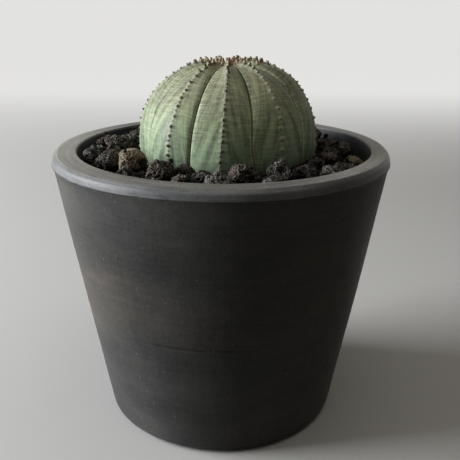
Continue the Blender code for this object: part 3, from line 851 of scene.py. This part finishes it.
def swelling(settings, rib, swellings, length, aside):
    """How far the skin rises over a rib's tubercles at a place, and how scarred and dark it is."""
    lift, scar, eye = 0.0, 0.0, 0.0
    for centre, side, size, youth in swellings:
        down = length - centre
        if abs(down) > SWELLING_REACH:
            continue
        across = aside - side
        spread = mix(*SWELLING_SPREAD, youth) * size
        height = mix(settings.swelling_side, settings.swelling_crown, youth) * size
        lift += height * bell(down, spread) * bell(across, spread * 1.25)
        reach = hypot(down, across) / (mix(*EYE_RADIUS, smoothstep(youth * 1.8)) * size)
        scar = max(scar, mix(1.7, 1.0, EYE_STRENGTH[rib]) * size * bell(reach - 0.80, 0.30))
        eye = max(eye, size * EYE_STRENGTH[rib] * bell(reach, 0.58))
    return lift, scar, eye


def scratch(rib, signed, height):
    """How far a healed scratch scars the skin at a place on a rib."""
    scar = 0.0
    for marked_rib, start, end, level, sag in SCRATCHES:
        share = (signed - start) / (end - start)
        if rib == marked_rib and 0.0 < share < 1.0:
            line = level - 4.0 * sag * share * (1.0 - share)
            scar = max(scar, sin(pi * share) * bell(height / MM - line, 0.25))
    return scar


def plant_shape(settings):
    """The plant's skin: a ball of points laid over the ribs, with a swelling at each tubercle."""
    per_rib = settings.columns_per_rib
    columns = per_rib * len(CREST_BEARINGS)
    rows = settings.skin_rows
    shown = int(rows * 0.9)
    buried_length = LINE.length_at(BURIED_HEIGHT)
    swellings = [tubercles(settings, rib) for rib in range(len(CREST_BEARINGS))]
    shape = bmesh.new()
    bmesh.ops.create_uvsphere(shape, u_segments=columns, v_segments=rows, radius=1.0)
    layers = new_layers(shape, SKIN_LAYERS)
    for vert in shape.verts:
        row = round(atan2(hypot(vert.co.x, vert.co.y), vert.co.z) / pi * rows)
        if row in (0, rows):
            end_height = LINE.points[0].y if row == 0 else ROOT_TIP
            vert.co = PLANT_CENTRE + Vector((0.0, 0.0, end_height))
            continue
        column = round(atan2(vert.co.y, vert.co.x) / (2.0 * pi) * columns) % columns
        rib, step = divmod(column, per_rib)
        signed = 2.0 * step / per_rib - 1.0
        signed -= 0.10 * sin(2.0 * pi * signed)
        if row <= shown:
            length = buried_length * row / shown
        else:
            length = mix(buried_length, LINE.lengths[-1], (row - shown) / (rows - shown))
        point, out = skin_point(settings, rib, signed, length)
        half_width = LINE.at(length)[0].x * HALF_RIB
        lift, scar, eye = swelling(settings, rib, swellings[rib], length, signed * half_width)
        scar = max(scar, scratch(rib, signed, point.z))
        lift += 0.22 * MM * noise.noise(point / (9.0 * MM)) * ribbing(point.z)
        lift += 0.04 * MM * noise.noise(Vector((signed, rib, length / (1.1 * MM))))
        vert.co = point + out * lift
        values = (length, abs(signed), rib + signed / 2.0, (1.0 - abs(signed)) * half_width, scar, eye)
        for layer, value in zip(layers.values(), values):
            vert[layer] = value
    bmesh.ops.recalc_face_normals(shape, faces=shape.faces)
    return shape


def add_copy(shape, mesh, rule):
    """Join a copy of a small mesh to a shape, with its points moved by a rule, and return them."""
    start = len(shape.verts)
    shape.from_mesh(mesh)
    shape.verts.ensure_lookup_table()
    verts = shape.verts[start:]
    for vert in verts:
        vert.co = rule(vert.co)
    return verts


def peg_mesh():
    """A tapering stub of unit radius and height with a rounded top."""
    shape = bmesh.new()
    bmesh.ops.create_cone(shape, cap_ends=True, segments=8, radius1=1.15, radius2=0.52, depth=0.85)
    bmesh.ops.translate(shape, verts=shape.verts, vec=(0.0, 0.0, 0.425))
    cap = [face for face in shape.faces if face.normal.z > 0.9 or face.calc_center_median().z > 0.8]
    bmesh.ops.inset_region(shape, faces=cap, thickness=0.24, depth=0.15)
    return new_mesh("peg", shape)


def add_peg(shape, stub, base, out, radius, height, lean, values):
    """Stand a peg on the skin. Its values are the darkness of its tip, its youth and its tint."""
    turn = out.to_track_quat("Z", "Y").to_matrix()

    def rule(point):
        upwards = point.z * (height + PEG_SUNK) - PEG_SUNK
        place = base + turn @ Vector((point.x * radius, point.y * radius, upwards)) + lean * point.z ** 2
        place.z = min(place.z, CAD_HIGH.z - 0.02 * MM)
        return place

    darkness, youth, tint = values
    rises = [vert.co.z for vert in stub.vertices]
    for vert, rise in zip(add_copy(shape, stub, rule), rises):
        for name, value in zip(PEG_LAYERS, (rise * darkness, youth, tint)):
            vert[shape.verts.layers.float[name]] = value


def add_rib_pegs(settings, shape, stub, random):
    """A peg on every tubercle of the ribs, tall and corky near the crown and a mere eye lower down."""
    for rib in range(len(CREST_BEARINGS)):
        for length, side, size, youth in tubercles(settings, rib):
            half_width = max(LINE.at(length)[0].x * HALF_RIB, 0.5 * MM)
            lift = mix(settings.swelling_side, settings.swelling_crown, youth) * size * 0.85
            base, out = skin_point(settings, rib, side / half_width, length, lift)
            crown = 1.0 - smoothstep((length - 5.0 * MM) / (9.0 * MM))
            height = mix(*PEG_HEIGHT, smoothstep((youth - 0.1) / 0.5)) * size
            radius = mix(*PEG_RADIUS, smoothstep(youth * 1.8)) * size
            lean = Vector((random.uniform(-0.2, 0.2), random.uniform(-0.2, 0.2), 0.15 * youth)) * MM
            tint = random.random() * (1.0 if length < 6.0 * MM else 0.4)
            values = (mix(EYE_STRENGTH[rib], 1.0, crown), crown * random.uniform(0.5, 1.0), tint)
            add_peg(shape, stub, base, out, radius, height, lean, values)


def add_crown_pegs(settings, shape, stub, random):
    """Flower stalks crowded on the crown, with a tall tuft in its dimple."""
    for number in range(settings.crown_pegs):
        rib = random.randrange(len(CREST_BEARINGS))
        in_tuft = number < TUFT_SHARE * settings.crown_pegs
        length = random.uniform(*(TUFT_PLACE if in_tuft else STALK_PLACE))
        base, out = skin_point(settings, rib, random.uniform(-0.5, 0.5), length)
        lean = Vector((random.uniform(-0.3, 0.3), random.uniform(-0.3, 0.3), 0.1)) * MM
        if in_tuft:
            height = random.uniform(0.8, 1.1) * TUFT_HEIGHT
        else:
            height = mix(*STALK_HEIGHT, length / STALK_PLACE[1])
        radius = random.uniform(*STALK_RADIUS)
        tint = random.uniform(0.8, 1.0) if length < RED_REACH else random.uniform(0.0, 0.6)
        add_peg(shape, stub, base, out, radius, height, lean, (1.0, random.uniform(0.6, 1.0), tint))


def pegs_shape(settings):
    """Every peg on the plant."""
    random = Random(7)
    stub = peg_mesh()
    shape = bmesh.new()
    new_layers(shape, PEG_LAYERS)
    add_rib_pegs(settings, shape, stub, random)
    add_crown_pegs(settings, shape, stub, random)
    bpy.data.meshes.remove(stub)
    bmesh.ops.recalc_face_normals(shape, faces=shape.faces)
    return shape


# ---- Mix, stones and grit ----

def mix_shape():
    """The potting mix with a rough top."""
    shape = merged_copy("potting_mix")
    for _ in range(3):
        refine(shape, [edge for edge in shape.edges if min(vert.co.z for vert in edge.verts) > MIX_EDGE])
    bmesh.ops.triangulate(shape, faces=shape.faces)
    shape.normal_update()
    for vert in shape.verts:
        if vert.normal.z > 0.3 and vert.co.z > MIX_EDGE:
            vert.co.z += 0.6 * MM * noise.noise(vert.co / (1.4 * MM)) - 0.2 * MM
    return shape


def chip(shape, random, cragginess):
    """Knock flat faces off a round lump, so that it has edges and peaks."""
    middle = sum((vert.co for vert in shape.verts), Vector()) / len(shape.verts)
    for _ in range(FLAT_FACES):
        way = Vector([random.gauss(0.0, 1.0) for _ in range(3)]).normalized()
        reach = max((vert.co - middle).dot(way) for vert in shape.verts)
        reach *= random.uniform(0.66, 0.86) ** cragginess
        for vert in shape.verts:
            beyond = (vert.co - middle).dot(way) - reach
            if beyond > 0.0:
                vert.co -= way * beyond * 0.85


def lava_detail(shape, random, levels, cragginess):
    """Break up a plain lump: soften its facets, then give it sharp crags, hollows and bubbles."""
    layers = new_layers(shape, LAVA_LAYERS)
    noise.seed_set(NOISE_SEED)
    place = Vector([random.uniform(-50.0, 50.0) for _ in range(3)])
    refine(shape)
    bmesh.ops.smooth_vert(
        shape, verts=shape.verts, factor=0.5, use_axis_x=True, use_axis_y=True, use_axis_z=True,
    )
    for _ in range(levels - 1):
        refine(shape)
    chip(shape, random, cragginess)
    shape.normal_update()
    moves = []
    for vert in shape.verts:
        here = vert.co / MM + place
        here += noise.noise_vector(here / 1.7) * 0.6
        crag = sum(share * (1.0 - 2.6 * abs(noise.noise(here / scale))) for scale, share in CRAGS)
        bubbles, _ = noise.voronoi(here / 0.85)
        pit_shade = smoothstep(1.0 - bubbles[0] / 0.55) * smoothstep(0.5 + 2.5 * noise.noise(here / 2.4))
        # Lighter on faces turned up and towards the window: partly dust on top, partly painted light on
        # the lit side.
        dust_and_light = 0.5 + 0.9 * vert.normal.dot(DUST_AND_LIGHT_SIDE) + 0.6 * noise.noise(here / 2.0)
        moves.append((crag, pit_shade, dust_and_light))
    for vert, (crag, pit_shade, dust_and_light) in zip(shape.verts, moves):
        vert.co += vert.normal * (crag * 1.05 - 0.20 - 0.55 * pit_shade) * cragginess * MM
        # Painted shade: darker in hollows between crags and in bubbles.
        vert[layers["pit_shade"]] = clamp(0.40 - 1.1 * crag + pit_shade)
        vert[layers["dust_and_light"]] = clamp(dust_and_light)


def stone_nodes():
    """Names of the CAD's stones, in order."""
    return sorted(name for name in frame["nodes"] if name.startswith("stone_"))


def slot_of(node):
    """Material slot that the record gives a CAD node."""
    for row in frame["record"]["subparts"]:
        if row["node"] == node:
            return row["material_slot"]
    raise ValueError(f"{node} has no material slot")


def crumb_meshes():
    """A few small chipped lumps, each a divided cube pushed about."""
    random = Random(41)
    made = []
    for _ in range(8):
        shape = bmesh.new()
        bmesh.ops.create_cube(shape, size=1.0)
        refine(shape)
        for vert in shape.verts:
            vert.co = vert.co.lerp(vert.co.normalized() * 0.62, 0.75) * random.uniform(0.74, 1.20)
        made.append(new_mesh("crumb", shape))
    return made


class Ground:
    """What lies below a point in the pot: mix, stones, plant and pot."""

    def __init__(self):
        self.trees = {}
        for node in ("potting_mix", "plant", "pot", *stone_nodes()):
            shape = merged_copy(node)
            self.trees[node] = BVHTree.FromBMesh(shape)
            shape.free()

    def below(self, x, y):
        """Name, height and upward slope of the topmost surface at a place."""
        start = Vector((x, y, ABOVE_ALL))
        hits = []
        for node, tree in self.trees.items():
            place, normal, _, _ = tree.ray_cast(start, Vector((0.0, 0.0, -1.0)))
            if place is not None:
                hits.append((place.z, node, normal.z))
        height, node, slope = max(hits)
        return node, height, slope


def grit_shape(settings):
    """Crumbs of lava scattered between the stones, large ones first, and a few resting on stones."""
    random = Random(23)
    crumbs = crumb_meshes()
    ground = Ground()
    shape = bmesh.new()
    layers = new_layers(shape, LAVA_LAYERS)
    for number in range(settings.grit_count):
        share = number / settings.grit_count
        size = mix(GRIT_LARGEST, GRIT_SMALLEST, share ** 0.45) * random.uniform(0.8, 1.2)
        bearing = random.uniform(-180.0, 180.0)
        inner, outer = GRIT_RING
        place = at_bearing(bearing, sqrt(random.uniform(inner ** 2, outer ** 2)) * MM)
        node, height, slope = ground.below(place.x, place.y)
        by_plant = (place - PLANT_CENTRE).xy.length < PLANT_CLEARANCE
        may_rest = node.startswith("stone_") and size < GRIT_ON_STONES and slope > 0.75
        on_stone = may_rest and random.random() < 0.2 and not by_plant
        if node != "potting_mix" and not on_stone:
            continue
        if (place - wall_centre(height)).xy.length + size / 2.0 > inner_radius(height) - 0.2 * MM:
            continue
        turn = Euler([random.uniform(0.0, 2.0 * pi) for _ in range(3)]).to_matrix()
        stretch = Vector((size, size * random.uniform(0.7, 1.0), size * random.uniform(0.6, 0.9)))
        place.z = height + size * (0.25 if on_stone else random.uniform(0.15, 0.45))
        shadow = random.uniform(0.0, 0.5)
        dust_and_light = random.random()
        crumb = random.choice(crumbs)
        for vert in add_copy(shape, crumb, lambda point: place + turn @ (point * stretch)):
            vert[layers["pit_shade"]] = shadow
            vert[layers["dust_and_light"]] = dust_and_light
    for mesh in crumbs:
        bpy.data.meshes.remove(mesh)
    bmesh.ops.recalc_face_normals(shape, faces=shape.faces)
    return shape


# ---- Settings ----

def colour(name, description, default):
    """A colour that a user can change."""
    kind = {"subtype": "COLOR", "min": 0.0, "max": 1.0}
    return FloatVectorProperty(name=name, description=description, default=default, **kind)


def size(name, description, default):
    """A length that a user can change."""
    return FloatProperty(name=name, description=description, unit="LENGTH", precision=5, default=default)


def power(name, description, default):
    """A lamp's power that a user can change."""
    return FloatProperty(name=name, description=description, unit="POWER", default=default)


def turning(name, description, default):
    """An angle that a user can change. Its default is in degrees."""
    return FloatProperty(name=name, description=description, unit="ROTATION", default=radians(default))


def count(name, description, default, low=0, high=10000):
    """A whole number that a user can change."""
    return IntProperty(name=name, description=description, min=low, max=high, default=default)


class PotSettings(bpy.types.PropertyGroup):
    """Clay of the pot."""

    clay: colour("Clay", "Main colour of the burnished clay", (0.072, 0.073, 0.069))
    clay_warm: colour("Warm cloud", "Brownish clouds in the clay", (0.087, 0.075, 0.065))
    # Rim top: dustier clay, also painted lighter for the light and sheen that the top catches.
    clay_top_dust_and_sheen: colour("Rim top", "Dusty clay on the flat top of the rim", (0.160, 0.152, 0.136))
    # Band: painted paler and bluer, as the sheen of the window's light on it.
    clay_band_sheen: colour("Rubbed band", "Clay rubbed paler on the band", (0.114, 0.116, 0.119))
    # Inside: painted shade, darker and bluer than the outer clay.
    clay_inside_shade: colour("Inside", "Sealed clay inside the pot", (0.026, 0.028, 0.033))
    # Mark: painted shade in the tool's dent.
    clay_mark_shade: colour("Mark", "Dark line left by a tool", (0.020, 0.018, 0.016))
    speck: colour("Speck", "Pale specks in the clay", (0.34, 0.33, 0.31))
    pot_steps: count("Steps", "Steps round the pot", 240, 24)


class MixSettings(bpy.types.PropertyGroup):
    """Potting mix and grit."""

    mix_dark: colour("Dark mix", "Darkest colour of the mix", (0.010, 0.008, 0.007))
    mix_light: colour("Light mix", "Lightest colour of the mix", (0.045, 0.034, 0.026))
    mix_grain: colour("Grain", "Pale grains in the mix", (0.20, 0.18, 0.15))
    grit_count: count("Grit", "Crumbs tried between the stones", 2600)


class PlantSettings(bpy.types.PropertyGroup):
    """Shape and colours of the plant."""

    groove_depth: size("Groove depth", "Depth of the grooves between ribs", 2.2 * MM)
    first_tubercle: size("First tubercle", "Distance of the first tubercle from the crown", 1.8 * MM)
    pitch_crown: size("Crown pitch", "Distance between tubercles at the crown", 1.7 * MM)
    pitch_side: size("Side pitch", "Distance between tubercles on the side", 3.25 * MM)
    swelling_crown: size("Crown swelling", "Height of the swelling under a young tubercle", 1.15 * MM)
    swelling_side: size("Side swelling", "Height of the swelling under an old tubercle", 0.32 * MM)
    columns_per_rib: count("Columns", "Columns of points on a rib", 40, 8)
    skin_rows: count("Rows", "Rows of points from crown to root", 250, 20)
    crown_pegs: count("Crown pegs", "Flower stalks crowded on the crown", 105)
    skin: colour("Skin", "Main colour of the skin", (0.252, 0.326, 0.190))
    skin_crown: colour("Crown skin", "Skin near the crown", (0.288, 0.284, 0.174))
    skin_low: colour("Low skin", "Skin near the mix", (0.255, 0.350, 0.245))
    skin_patch: colour("Patch", "Purple-grey patches", (0.205, 0.230, 0.178))
    skin_band: colour("Band", "Yellow-green bands across the ribs", (0.335, 0.380, 0.215))
    # Painted highlight beside a crease, where its steep wall catches the light.
    skin_crease_highlight: colour("Margin", "Pale margin beside a crease", (0.440, 0.475, 0.320))
    # Painted shade at the bottom of a crease.
    skin_crease_shade: colour("Crease", "Bottom of a crease", (0.075, 0.088, 0.038))
    skin_scar: colour("Scar", "Pale corky skin round a tubercle", (0.470, 0.475, 0.360))
    skin_eye: colour("Eye", "Dark eye of a tubercle", (0.060, 0.058, 0.030))
    peg_base: colour("Peg base", "Base of a peg", (0.340, 0.318, 0.210))
    peg_young: colour("Young peg", "Reddish young peg", (0.560, 0.260, 0.185))
    peg_gold: colour("Golden peg", "Straw-coloured young peg", (0.620, 0.500, 0.325))
    peg_tip: colour("Peg tip", "Dark tip of a peg", (0.055, 0.045, 0.028))


class StoneSettings(bpy.types.PropertyGroup):
    """Lava stones."""

    detail_near: count("Near detail", "Divisions of the large stones", 4, 1, 5)
    detail_far: count("Far detail", "Divisions of the small stones", 3, 1, 5)
    cragginess: FloatProperty(name="Cragginess", description="Depth of crags", min=0.0, default=1.0)
    fleck: colour("Fleck", "Pale flecks on the stones", (0.52, 0.51, 0.47))
    grit_fleck: colour("Grit fleck", "Pale flecks on the grit", (0.40, 0.38, 0.34))


class StageSettings(bpy.types.PropertyGroup):
    """Floor, light and camera."""

    floor: colour("Floor", "Colour of the floor", (0.56, 0.55, 0.535))
    floor_bounce: colour("Floor bounce", "Colour that the floor throws back", (0.05, 0.04, 0.03))
    backdrop: colour("Backdrop", "Colour of the backdrop", (0.76, 0.755, 0.74))
    backdrop_bounce: colour("Backdrop bounce", "Colour that the backdrop throws back", (0.40, 0.40, 0.39))
    window_power: power("Window light", "Power of the window's light", 19.5)
    window_breadth: size("Window breadth", "Width and height of the window", 0.62)
    window_rise: turning("Window rise", "How high the window stands", 17.0)
    top_power: power("Top light", "Power of the light above", 3.2)
    sky: FloatProperty(name="Sky", description="Strength of the even light from all round", default=0.06)
    lens: FloatProperty(name="Lens", description="Focal length", unit="CAMERA", default=53.85)
    distance: size("Distance", "How far the camera stands in front of the pot's axis", 0.24427)
    height: size("Height", "How high the camera stands", 0.15344)
    tilt: turning("Tilt", "How far the camera looks down", 19.285)
    turn: turning("Turn", "How far the camera looks to its right", 0.749)
    roll: turning("Roll", "How far the camera leans", 0.22)


# ---- Operators ----

class POTPLANT_OT_pot(bpy.types.Operator):
    """Make the clay pot"""

    bl_idname = "potplant.pot"
    bl_label = "Clay pot"

    def execute(self, context):
        settings = context.scene.potplant_pot
        shape = pot_shape(settings)
        add_piece("clay_pot", shape, clay_finish(settings), ["pot"], POT_SHARP_ANGLE)
        return {"FINISHED"}


class POTPLANT_OT_net(bpy.types.Operator):
    """Finish the drain net"""

    bl_idname = "potplant.net"
    bl_label = "Drain net"

    def execute(self, context):
        net = frame["nodes"]["drain_net"]
        net.data.materials.clear()
        net.data.materials.append(net_finish())
        return {"FINISHED"}


class POTPLANT_OT_mix(bpy.types.Operator):
    """Roughen the potting mix"""

    bl_idname = "potplant.mix"
    bl_label = "Potting mix"

    def execute(self, context):
        settings = context.scene.potplant_mix
        add_piece("rough_mix", mix_shape(), mix_finish(settings), ["potting_mix"])
        return {"FINISHED"}


class POTPLANT_OT_plant(bpy.types.Operator):
    """Make the ribbed plant"""

    bl_idname = "potplant.plant"
    bl_label = "Plant"

    def execute(self, context):
        settings = context.scene.potplant_plant
        add_piece("ribbed_plant", plant_shape(settings), skin_finish(settings), ["plant"])
        return {"FINISHED"}


class POTPLANT_OT_tubercles(bpy.types.Operator):
    """Set the corky pegs on the ribs"""

    bl_idname = "potplant.tubercles"
    bl_label = "Tubercles"

    def execute(self, context):
        settings = context.scene.potplant_plant
        add_piece("tubercles", pegs_shape(settings), tubercle_finish(settings))
        return {"FINISHED"}


class POTPLANT_OT_stones(bpy.types.Operator):
    """Crag every lava stone"""

    bl_idname = "potplant.stones"
    bl_label = "Lava stones"

    def execute(self, context):
        settings = context.scene.potplant_stones
        finishes = {slot: lava_finish(slot, settings.fleck) for slot in LAVA if slot != "grit"}
        for number, node in enumerate(stone_nodes()):
            shape = merged_copy(node)
            slot = slot_of(node)
            levels = settings.detail_near if number < NEAR_STONES else settings.detail_far
            cragginess = settings.cragginess * (DULL_CRAGGINESS if slot == DULL_LAVA else 1.0)
            lava_detail(shape, Random(number), levels, cragginess)
            add_piece("lava_" + node, shape, finishes[slot], [node])
        return {"FINISHED"}


class POTPLANT_OT_grit(bpy.types.Operator):
    """Scatter grit between the stones"""

    bl_idname = "potplant.grit"
    bl_label = "Grit"

    def execute(self, context):
        finish = lava_finish("grit", context.scene.potplant_stones.grit_fleck)
        shape = grit_shape(context.scene.potplant_mix)
        add_piece("lava_grit", shape, finish, (), GRIT_SHARP_ANGLE)
        return {"FINISHED"}


class POTPLANT_OT_stage(bpy.types.Operator):
    """Set the floor, the light and the camera"""

    bl_idname = "potplant.stage"
    bl_label = "Stage"

    def add_floor(self, settings):
        """A pale floor that sweeps up into a backdrop."""
        left = -FLOOR_WIDTH / 2.0
        profile = ((FLOOR_FRONT, 0.0), (FLOOR_BACK, 0.0), (FLOOR_BACK, BACKDROP_HEIGHT))
        shape = bmesh.new()
        line = [shape.verts.new((left, y, z)) for y, z in profile]
        for before, after in zip(line, line[1:]):
            shape.edges.new((before, after))
        bmesh.ops.bevel(
            shape, geom=[line[1]], offset=BACKDROP_BEND, offset_type="OFFSET", segments=16, profile=0.5,
            affect="VERTICES", material=-1,
        )
        swept = bmesh.ops.extrude_edge_only(shape, edges=shape.edges)["geom"]
        edge = [part for part in swept if isinstance(part, bmesh.types.BMVert)]
        bmesh.ops.translate(shape, verts=edge, vec=(FLOOR_WIDTH, 0.0, 0.0))
        bmesh.ops.recalc_face_normals(shape, faces=shape.faces)
        floor = smooth_object("floor", shape, self.stage_finish(settings))

    def stage_finish(self, settings):
        """Pale floor, and a backdrop that looks pale but throws little light."""
        paint = Paint("floor", 0.9, Specular_IOR_Level=0.1, Emission_Strength=1.0)
        seen = paint.add("ShaderNodeLightPath", output="Is Camera Ray")
        for ray in ("Is Glossy Ray", "Is Transmission Ray"):
            seen = seen.either(paint.add("ShaderNodeLightPath", output=ray))
        back = paint.axis("Y").above(*BACKDROP_BLEND)
        black = (0.0, 0.0, 0.0)
        floor = paint.blend(seen, settings.floor_bounce, settings.floor)
        wall = paint.blend(seen, settings.backdrop_bounce, black)
        paint.set("Base Color", paint.blend(back, floor, wall))
        paint.set("Emission Color", paint.blend(seen * back, black, settings.backdrop))
        return paint.material

    def add_lamp(self, name, power, colour, breadth, bearing, rise, distance):
        """A broad, soft lamp that faces the rim of the pot."""
        lamp = bpy.data.lights.new(name, "AREA")
        lamp.energy = power
        lamp.color = colour
        lamp.size = breadth
        holder = new_object(name, lamp)
        towards = at_bearing(bearing, cos(rise), sin(rise))
        holder.location = towards * distance + Vector((0.0, 0.0, MOUTH_TOP))
        holder.rotation_euler = towards.to_track_quat("Z", "Y").to_euler()

    def add_sky(self, strength):
        """Weak even light from all round."""
        world = bpy.data.worlds.new("sky")
        bpy.context.scene.world = world
        world.use_nodes = True
        sky = world.node_tree.nodes["Background"]
        sky.inputs["Color"].default_value = SKY_COLOUR
        sky.inputs["Strength"].default_value = strength

    def add_camera(self, settings):
        """The camera, a little above the rim and in front of the pot."""
        camera = bpy.data.cameras.new("camera")
        camera.lens = settings.lens
        camera.clip_start = 10.0 * MM
        holder = new_object("camera", camera)
        turn = Matrix.Rotation(-settings.turn, 4, "Z")
        tilt = Matrix.Rotation(pi / 2.0 - settings.tilt, 4, "X")
        roll = Matrix.Rotation(settings.roll, 4, "Z")
        place = Matrix.Translation((0.0, -settings.distance, settings.height))
        holder.matrix_world = place @ turn @ tilt @ roll
        bpy.context.scene.camera = holder

    def execute(self, context):
        settings = context.scene.potplant_stage
        self.add_floor(settings)
        self.add_lamp(
            "window", settings.window_power, WINDOW_COLOUR, settings.window_breadth,
            WINDOW_BEARING, settings.window_rise, WINDOW_DISTANCE,
        )
        self.add_lamp(
            "ceiling", settings.top_power, TOP_COLOUR, TOP_BREADTH, TOP_BEARING, TOP_RISE, TOP_DISTANCE,
        )
        self.add_sky(settings.sky)
        self.add_camera(settings)
        context.scene.view_settings.view_transform = "Standard"
        return {"FINISHED"}


class POTPLANT_PT_panel(bpy.types.Panel):
    """Sidebar panel with every step and its settings"""

    bl_idname = "POTPLANT_PT_panel"
    bl_label = "Potted plant"
    bl_space_type = "VIEW_3D"
    bl_region_type = "UI"
    bl_category = "Potted plant"

    def draw(self, context):
        for step in STEPS:
            self.layout.operator(step.bl_idname)
        for name, group in SETTINGS.items():
            box = self.layout.box()
            settings = getattr(context.scene, name)
            for field in group.__annotations__:
                box.prop(settings, field)


SETTINGS = {
    "potplant_pot": PotSettings,
    "potplant_mix": MixSettings,
    "potplant_plant": PlantSettings,
    "potplant_stones": StoneSettings,
    "potplant_stage": StageSettings,
}
STEPS = (
    POTPLANT_OT_pot,
    POTPLANT_OT_net,
    POTPLANT_OT_mix,
    POTPLANT_OT_plant,
    POTPLANT_OT_tubercles,
    POTPLANT_OT_stones,
    POTPLANT_OT_grit,
    POTPLANT_OT_stage,
)


def register():
    """Register the classes and attach the settings to the scene."""
    for group in (*SETTINGS.values(), *STEPS, POTPLANT_PT_panel):
        bpy.utils.register_class(group)
    for name, group in SETTINGS.items():
        setattr(bpy.types.Scene, name, PointerProperty(type=group))


def unregister():
    """Detach the settings and unregister the classes."""
    for name in SETTINGS:
        delattr(bpy.types.Scene, name)
    for group in (POTPLANT_PT_panel, *reversed(STEPS), *reversed(SETTINGS.values())):
        bpy.utils.unregister_class(group)


def main():
    """Build every piece in order."""
    register()
    bpy.ops.potplant.pot()
    bpy.ops.potplant.net()
    bpy.ops.potplant.mix()
    bpy.ops.potplant.plant()
    bpy.ops.potplant.tubercles()
    bpy.ops.potplant.stones()
    bpy.ops.potplant.grit()
    bpy.ops.potplant.stage()


if __name__ == "__main__":
    main()
